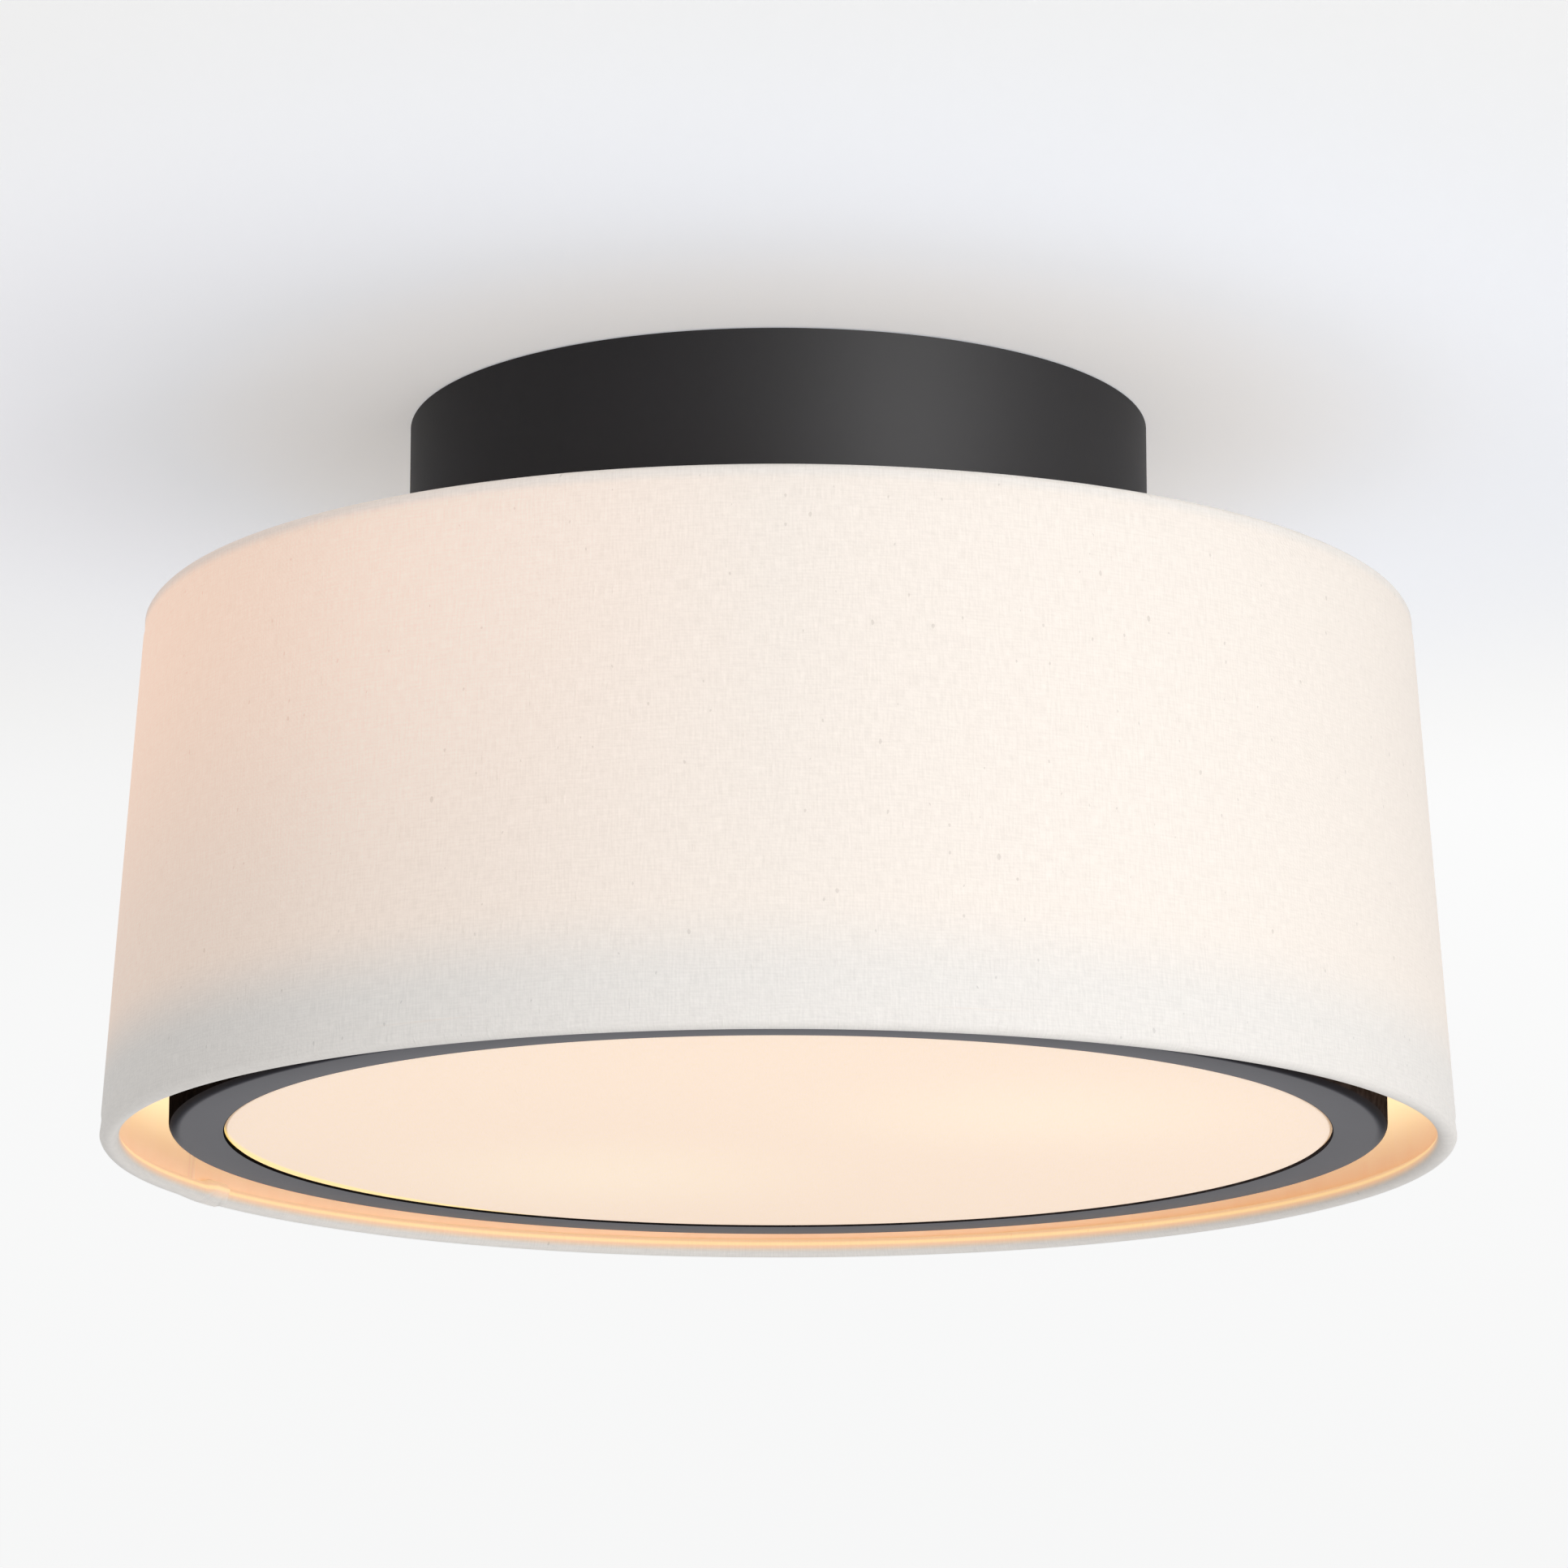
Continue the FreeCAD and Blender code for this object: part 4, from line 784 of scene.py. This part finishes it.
lip_glow = add(linen_tree, "ShaderNodeVectorMath",
               {0: toned(linen_tree, HEM_LIP_GLOW, lip),
                1: toned(linen_tree, HEM_EDGE_GLOW, math_node(linen_tree, "MULTIPLY", lip, edge_line))},
               operation="ADD").outputs[0]
all_glow = add(linen_tree, "ShaderNodeVectorMath", {0: outer_glow, 1: lip_glow}, operation="ADD").outputs[0]
linen_tree.links.new(all_glow, linen_shader.inputs["Emission Color"])
linen_tone_and_shade = math_node(linen_tree, "MULTIPLY", linen_weave.outputs["Tone"],
                       spread(linen_tree, linen_weave.outputs["Fleck"], 0.0, 1.0, 1.0, 0.84))
# On the inner lip of the lower rim the linen's colour is painted darker, a painted shade under its painted
# glow.
linen_tone_and_shade = math_node(linen_tree, "MULTIPLY", linen_tone_and_shade,
                       spread(linen_tree, lip, 0.0, 1.0, 1.0, LIP_PAINTED_SHADE, "LINEAR"))
linen_tree.links.new(toned(linen_tree, LINEN_COLOUR, linen_tone_and_shade), linen_shader.inputs["Base Color"])
bump(linen_tree, linen_shader, linen_weave.outputs["Height"], 0.00012, 0.6)


def hem_arc(centre, start, end, steps=14):
    """Points of a rolled rim about a hoop, between two angles measured from straight out towards down."""
    points = []
    for i in range(steps + 1):
        angle = math.radians(start + (end - start) * i / steps)
        reach = HEM_RADIUS + HEM_BEAD
        points.append(centre + wall_out * reach * math.cos(angle) + wall_way * reach * math.sin(angle))
    return points


def wall_rows(out, start, end, rows):
    """Points down or up the wall between two distances from the upper hoop."""
    return [on_wall(out, start + (end - start) * i / rows) for i in range(rows + 1)]


def hand_rolled(angle, radius, height):
    """The small unevenness of a rim rolled by hand, and the thicker roll where the linen laps."""
    wave = sum(size * math.sin(count * angle + phase) for size, count, phase in HEM_WAVES)
    from_rim = min(height - cad_box[0].z, upper_hoop.y + HEM_RADIUS - height)
    share = max(0.0, 1 - from_rim / HEM_ZONE)
    rise = max(0.0, min(1.0, (angle - SEAM_START) / 0.008))
    lap = rise * max(0.0, min(1.0, (SEAM_END - 0.010 - angle) / 0.012))
    fold = rise * max(0.0, min(1.0, (SEAM_END + 0.05 - angle) / 0.06))
    inner = radius < on_wall(0, (upper_hoop.y - height) / -wall_way.y).x
    if inner:
        radius -= LAP_INWARD * lap * share
        height += LAP_UPWARD * lap * share
    height -= FOLD_DROP * fold * max(0.0, 1 - (height - cad_box[0].z) / 0.003)
    return radius + wave * 0.5, height + wave * share * (1 if from_rim > 0.003 else 0)


groove = HEM_RADIUS + 0.0009
linen_outline = [
    *hem_arc(upper_hoop, -300, -20, 20),
    on_wall(HEM_RADIUS - HEM_GROOVE, HEM_RADIUS + 0.0002),
    *wall_rows(HEM_RADIUS, groove + 0.0008, wall_length - groove - 0.0008, 20),
    on_wall(HEM_RADIUS - HEM_GROOVE, wall_length - HEM_RADIUS - 0.0002),
    *hem_arc(lower_hoop + Vector((0, -HEM_DROP)), 20, 300, 22),
    on_wall(HEM_RADIUS - LINEN, wall_length - HEM_RADIUS),
    on_wall(HEM_RADIUS - LINEN, HEM_RADIUS),
]
shade_cloth = make_piece("shade_cloth", *turned(linen_outline, shape=hand_rolled,
                                                angles=with_seam(360, SEAM_START, SEAM_END)),
                         linen, "fixture", "shade_linen", "shade_fabric", crease=50)
lay_cloth_map(shade_cloth, (upper_hoop.x + lower_hoop.x) / 2)

# ---- Ring carrier and magnets ----
# A white painted steel plate with three arms bent down to the diffuser ring, and a nickel plated magnet under
# each foot.
NICKEL = (0.66, 0.64, 0.60)
dress(white_paint, "ring_carrier")
dress(metal("nickel_plate", NICKEL, 0.18, 0.3), "carrier_magnets")

# ---- Sockets on their bracket ----
# A folded zinc plated bracket holds two white porcelain sockets by a pair of screws each; each socket has a
# brass shell and a brass button. Leads go up the nipple to two orange connectors.
PORCELAIN = (0.86, 0.85, 0.82)
BRASS = (0.72, 0.50, 0.20)
CONNECTOR = (0.72, 0.27, 0.045)
LEAD_BLACK = (0.022, 0.022, 0.024)
LEAD_WHITE = (0.82, 0.82, 0.79)
porcelain = plastic("glazed_porcelain", PORCELAIN, 0.16, 0.00003, Coat_Weight=0.5, Coat_Roughness=0.08)
brass = metal("bare_brass", BRASS, 0.26, 0.7)
dress(zinc, "socket_bracket", "socket_screws")
for number in (1, 2):
    dress(porcelain, f"socket_{number}_body")
    dress(brass, f"socket_{number}_shell", f"socket_{number}_contact")
dress(plastic("orange_connector", CONNECTOR, 0.38), "wire_nuts")
dress(plastic("black_lead", LEAD_BLACK, 0.42), "lead_black")
dress(plastic("white_lead", LEAD_WHITE, 0.42), "lead_white")

# ---- Lamps ----
# Two medium screw lamps: a rolled aluminium cap with a round thread on a dark insulator, a white plastic
# housing, a board of light-emitting chips, and a milky dome that glows.
ALUMINIUM = (0.72, 0.72, 0.71)
INSULATOR = (0.045, 0.035, 0.045)
HOUSING = (0.84, 0.84, 0.81)
DOME = (0.88, 0.85, 0.78)
DOME_GLOW = (1.0, 0.80, 0.50)
TIN = (0.62, 0.62, 0.60)
BOARD = (0.8, 0.8, 0.77)
aluminium = metal("rolled_aluminium", ALUMINIUM, 0.30, 0.6)
tin = metal("tinned_contact", TIN, 0.35, 0.5)
insulator = plastic("dark_insulator", INSULATOR, 0.22)
housing = plastic("lamp_housing_white", HOUSING, 0.42)
board = metal("coated_board", BOARD, 0.45, 0.2)
dome, dome_tree, dome_shader, dome_place = principled("milky_dome", DOME, 0.35, Emission_Strength=0.30)
dome_cloud = spread(dome_tree, noise(dome_tree, dome_place, 0.02, 2.0), 0.3, 0.7, 0.94, 1.04)
dome_tree.links.new(toned(dome_tree, DOME_GLOW, dome_cloud), dome_shader.inputs["Emission Color"])
for number in (1, 2):
    dress(tin, f"bulb_{number}_contact")
    dress(insulator, f"bulb_{number}_insulator")
    dress(aluminium, f"bulb_{number}_cap")
    dress(housing, f"bulb_{number}_housing")
    dress(board, f"bulb_{number}_led_board")
    dress(dome, f"bulb_{number}_dome")

# ---- Diffuser ring ----
# A channel rolled from 1.2 mm steel: the lower flange that shows, the side wall, and the upper flange that
# the magnets hold, in a black powder coat a little smoother than the canopy's. Its near outer edge is painted
# darker, a painted shadow of the shade's rim. The edge of its opening and its outer wall are painted
# near-black, a painted shade.
RING_CORNER = 0.002
RING_OPENING = 0.1558
RING_TOP_OPENING = 0.1605
# The ring's coat is painted lighter and bluer than the canopy's, a painted bluish reflection on its
# underside.
RING_COAT_AND_SHEEN = (0.0205, 0.0195, 0.0310)
RING_ROUGHNESS = 0.42
SHADED_BAND = 0.0036
SHADED_FROM_Y = (0.015, -0.045)
SHADED_TONE = 0.35
CUT_ROUND = SHEET * 0.25
SHADE_EDGE_COLOUR = (0.006, 0.005, 0.005)
SHADE_EDGE_PAINTED_LIGHT = (-0.05, 0.16)
SHADE_EDGE_PAINTED_LIGHT_TONE = 5.0
ring_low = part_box("ring_lower_flange")[0]
ring_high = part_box("ring_upper_flange")[1]
ring_radius = ring_high.x
ring_inside = ring_radius - SHEET
channel = rounded([
    (RING_OPENING, ring_low.z, CUT_ROUND),
    (ring_radius, ring_low.z, RING_CORNER),
    (ring_radius, ring_high.z, RING_CORNER),
    (RING_TOP_OPENING, ring_high.z, CUT_ROUND),
    (RING_TOP_OPENING, ring_high.z - SHEET, CUT_ROUND),
    (ring_inside, ring_high.z - SHEET, RING_CORNER - SHEET),
    (ring_inside, ring_low.z + SHEET, RING_CORNER - SHEET),
    (RING_OPENING, ring_low.z + SHEET, CUT_ROUND),
])
ring_coat = painted("black_ring_coat", RING_COAT_AND_SHEEN, RING_ROUGHNESS, 0.6, Specular_IOR_Level=0.30)
ring_tree = ring_coat.node_tree
ring_shader = ring_tree.nodes["Principled BSDF"]
ring_place = add(ring_tree, "ShaderNodeTexCoord").outputs["Object"]
ring_reach = add(ring_tree, "ShaderNodeVectorMath", {0: stretched(ring_tree, ring_place, 1.0, 1.0, 0.0)},
                 operation="LENGTH").outputs["Value"]
ring_y = add(ring_tree, "ShaderNodeSeparateXYZ", {0: ring_place}).outputs["Y"]
# A painted shadow on the outer band of the near half, where the shade's rim keeps light off it.
outer_band = spread(ring_tree, ring_reach, ring_radius - SHADED_BAND, ring_radius - RING_CORNER * 0.4)
ring_shade = math_node(ring_tree, "MULTIPLY", spread(ring_tree, ring_y, *SHADED_FROM_Y), outer_band)
ring_tone = ring_shader.inputs["Base Color"].links[0].from_socket
shaded_tone = spread(ring_tree, ring_shade, 0.0, 1.0, 1.0, SHADED_TONE, "LINEAR")
ring_tree.links.new(toned(ring_tree, ring_tone, shaded_tone), ring_shader.inputs["Base Color"])
ring_tree.links.new(spread(ring_tree, ring_shade, 0.0, 0.7, RING_ROUGHNESS, 1.0, "LINEAR"),
                    ring_shader.inputs["Roughness"])
ring_channel = make_piece("ring_channel", *turned(channel, 384), ring_coat, "ring", "black_powder_coat",
                          "ring_lower_flange", "ring_side_wall", "ring_upper_flange")
# A near-black painted shade for the opening's edge and the ring's outer wall. It is painted lighter towards
# the right, a painted light, and mottled at random.
painted_shade_edge, edge_tree, edge_shader, edge_place = principled("painted_shade_black", SHADE_EDGE_COLOUR, 0.9,
                                                          Specular_IOR_Level=0.0)
edge_x = add(edge_tree, "ShaderNodeSeparateXYZ", {0: edge_place}).outputs["X"]
edge_light_and_mottle = math_node(edge_tree, "MULTIPLY", spread(edge_tree, edge_x, *SHADE_EDGE_PAINTED_LIGHT, 1.0, SHADE_EDGE_PAINTED_LIGHT_TONE),
                      spread(edge_tree, noise(edge_tree, edge_place, 0.003), 0.3, 0.7, 0.7, 1.3))
edge_tree.links.new(toned(edge_tree, SHADE_EDGE_COLOUR, edge_light_and_mottle), edge_shader.inputs["Base Color"])
ring_channel.data.materials.append(painted_shade_edge)
# The opening's edge and the outer wall take the painted shade.
for polygon in ring_channel.data.polygons:
    reach = math.hypot(polygon.center.x, polygon.center.y)
    on_wall_outside = reach > ring_radius - RING_CORNER * 0.1 and polygon.center.z < ring_high.z - RING_CORNER
    if reach < RING_OPENING + CUT_ROUND or on_wall_outside:
        polygon.material_index = 1

# ---- Diffuser ----
# A loose disc of opal acrylic with a fine linen facing glued under it, the opal with a faint painted glow. A
# painted glow on the facing, with two soft brighter painted pools, stands for the lamps' light through it. At
# the left far edge, where the facing isn't glued down, a thin painted crescent stands for light leaking past
# it, over a painted darker base. Inside the ring's opening the facing swells down a little.
FACING_COLOUR = (0.86, 0.83, 0.80)
FACING_GLOW = (0.352, 0.190, 0.062)
POOL_GLOW = (0.030, 0.045, 0.030)
POOLS = ((-0.050, 0.065), (0.072, -0.035))
POOL_RADIUS = 0.085
LEAK_CENTRE = (0.0260, -0.0150)
LEAK_START = 0.1802
LEAK_SOFT = 0.0018
LEAK_GLOW = (0.50, 0.38, 0.06)
LEAK_BASE_TONE = 0.5
FACING_SWELL = 0.0008
FACING_PITCH = 0.00050
OPAL = (0.88, 0.86, 0.82)
OPAL_GLOW = (0.95, 0.80, 0.56)

facing, facing_tree, facing_shader, facing_place = principled(
    "fine_linen_facing", FACING_COLOUR, 0.85, Sheen_Weight=0.08, Sheen_Roughness=0.5, Emission_Strength=1.0)
facing_map = add(facing_tree, "ShaderNodeUVMap", uv_map="cloth").outputs[0]
facing_weave = add(facing_tree, "ShaderNodeGroup",
                   {"Place": facing_map, "Warp": FACING_PITCH, "Weft": FACING_PITCH}, node_tree=WEAVE)
flat_place = stretched(facing_tree, facing_place, 1.0, 1.0, 0.0)
facing_glow = FACING_GLOW
for pool_x, pool_y in POOLS:
    away = add(facing_tree, "ShaderNodeVectorMath", {0: flat_place, 1: (pool_x, pool_y, 0)},
               operation="DISTANCE").outputs["Value"]
    pool = toned(facing_tree, POOL_GLOW, spread(facing_tree, away, 0.0, POOL_RADIUS, 1.0, 0.0))
    facing_glow = add(facing_tree, "ShaderNodeVectorMath", {0: facing_glow, 1: pool},
                      operation="ADD").outputs[0]
# A painted crescent of leaking light at the far left edge, over a painted darker base.
leak_away = add(facing_tree, "ShaderNodeVectorMath", {0: flat_place, 1: (*LEAK_CENTRE, 0)},
                operation="DISTANCE").outputs["Value"]
leak_mask = spread(facing_tree, leak_away, LEAK_START, LEAK_START + LEAK_SOFT)
leak = toned(facing_tree, LEAK_GLOW, leak_mask)
facing_glow = add(facing_tree, "ShaderNodeVectorMath", {0: facing_glow, 1: leak}, operation="ADD").outputs[0]
facing_tree.links.new(facing_glow, facing_shader.inputs["Emission Color"])
facing_tone = math_node(facing_tree, "MULTIPLY", facing_weave.outputs["Tone"],
                        spread(facing_tree, leak_mask, 0.0, 1.0, 1.0, LEAK_BASE_TONE, "LINEAR"))
facing_tree.links.new(toned(facing_tree, FACING_COLOUR, facing_tone),
                      facing_shader.inputs["Base Color"])
bump(facing_tree, facing_shader, facing_weave.outputs["Height"], 0.00006, 0.5)

facing_low, facing_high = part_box("diffuser_linen")
cloth_disc = rounded([(0, facing_low.z - FACING_SWELL, 0),
                      (RING_OPENING - FACING_SWELL, facing_low.z - FACING_SWELL, FACING_SWELL * 0.3),
                      (RING_OPENING - FACING_SWELL * 0.3, facing_low.z, 0),
                      (facing_high.x, facing_low.z, 0.0001),
                      (facing_high.x, facing_high.z, 0.0001), (0, facing_high.z, 0)], 2)
facing_disc = make_piece("diffuser_facing", *turned(cloth_disc, 256), facing, "diffuser", "diffuser_linen",
                         "diffuser_linen")
lay_cloth_map(facing_disc, facing_high.x, flat=True)

opal, opal_tree, opal_shader, opal_place = principled("satin_opal", OPAL, 0.30, Emission_Strength=0.10)
opal_cloud = spread(opal_tree, noise(opal_tree, opal_place, 0.05, 2.0), 0.3, 0.7, 0.95, 1.03)
opal_tree.links.new(toned(opal_tree, OPAL_GLOW, opal_cloud), opal_shader.inputs["Emission Color"])
disc_low, disc_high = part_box("diffuser_disc")
opal_disc = rounded([(0, disc_low.z, 0), (disc_high.x, disc_low.z, 0.0004),
                     (disc_high.x, disc_high.z, 0.0004), (0, disc_high.z, 0)], 3)
make_piece("diffuser_opal", *turned(opal_disc, 256), opal, "diffuser", "opal_acrylic", "diffuser_disc")
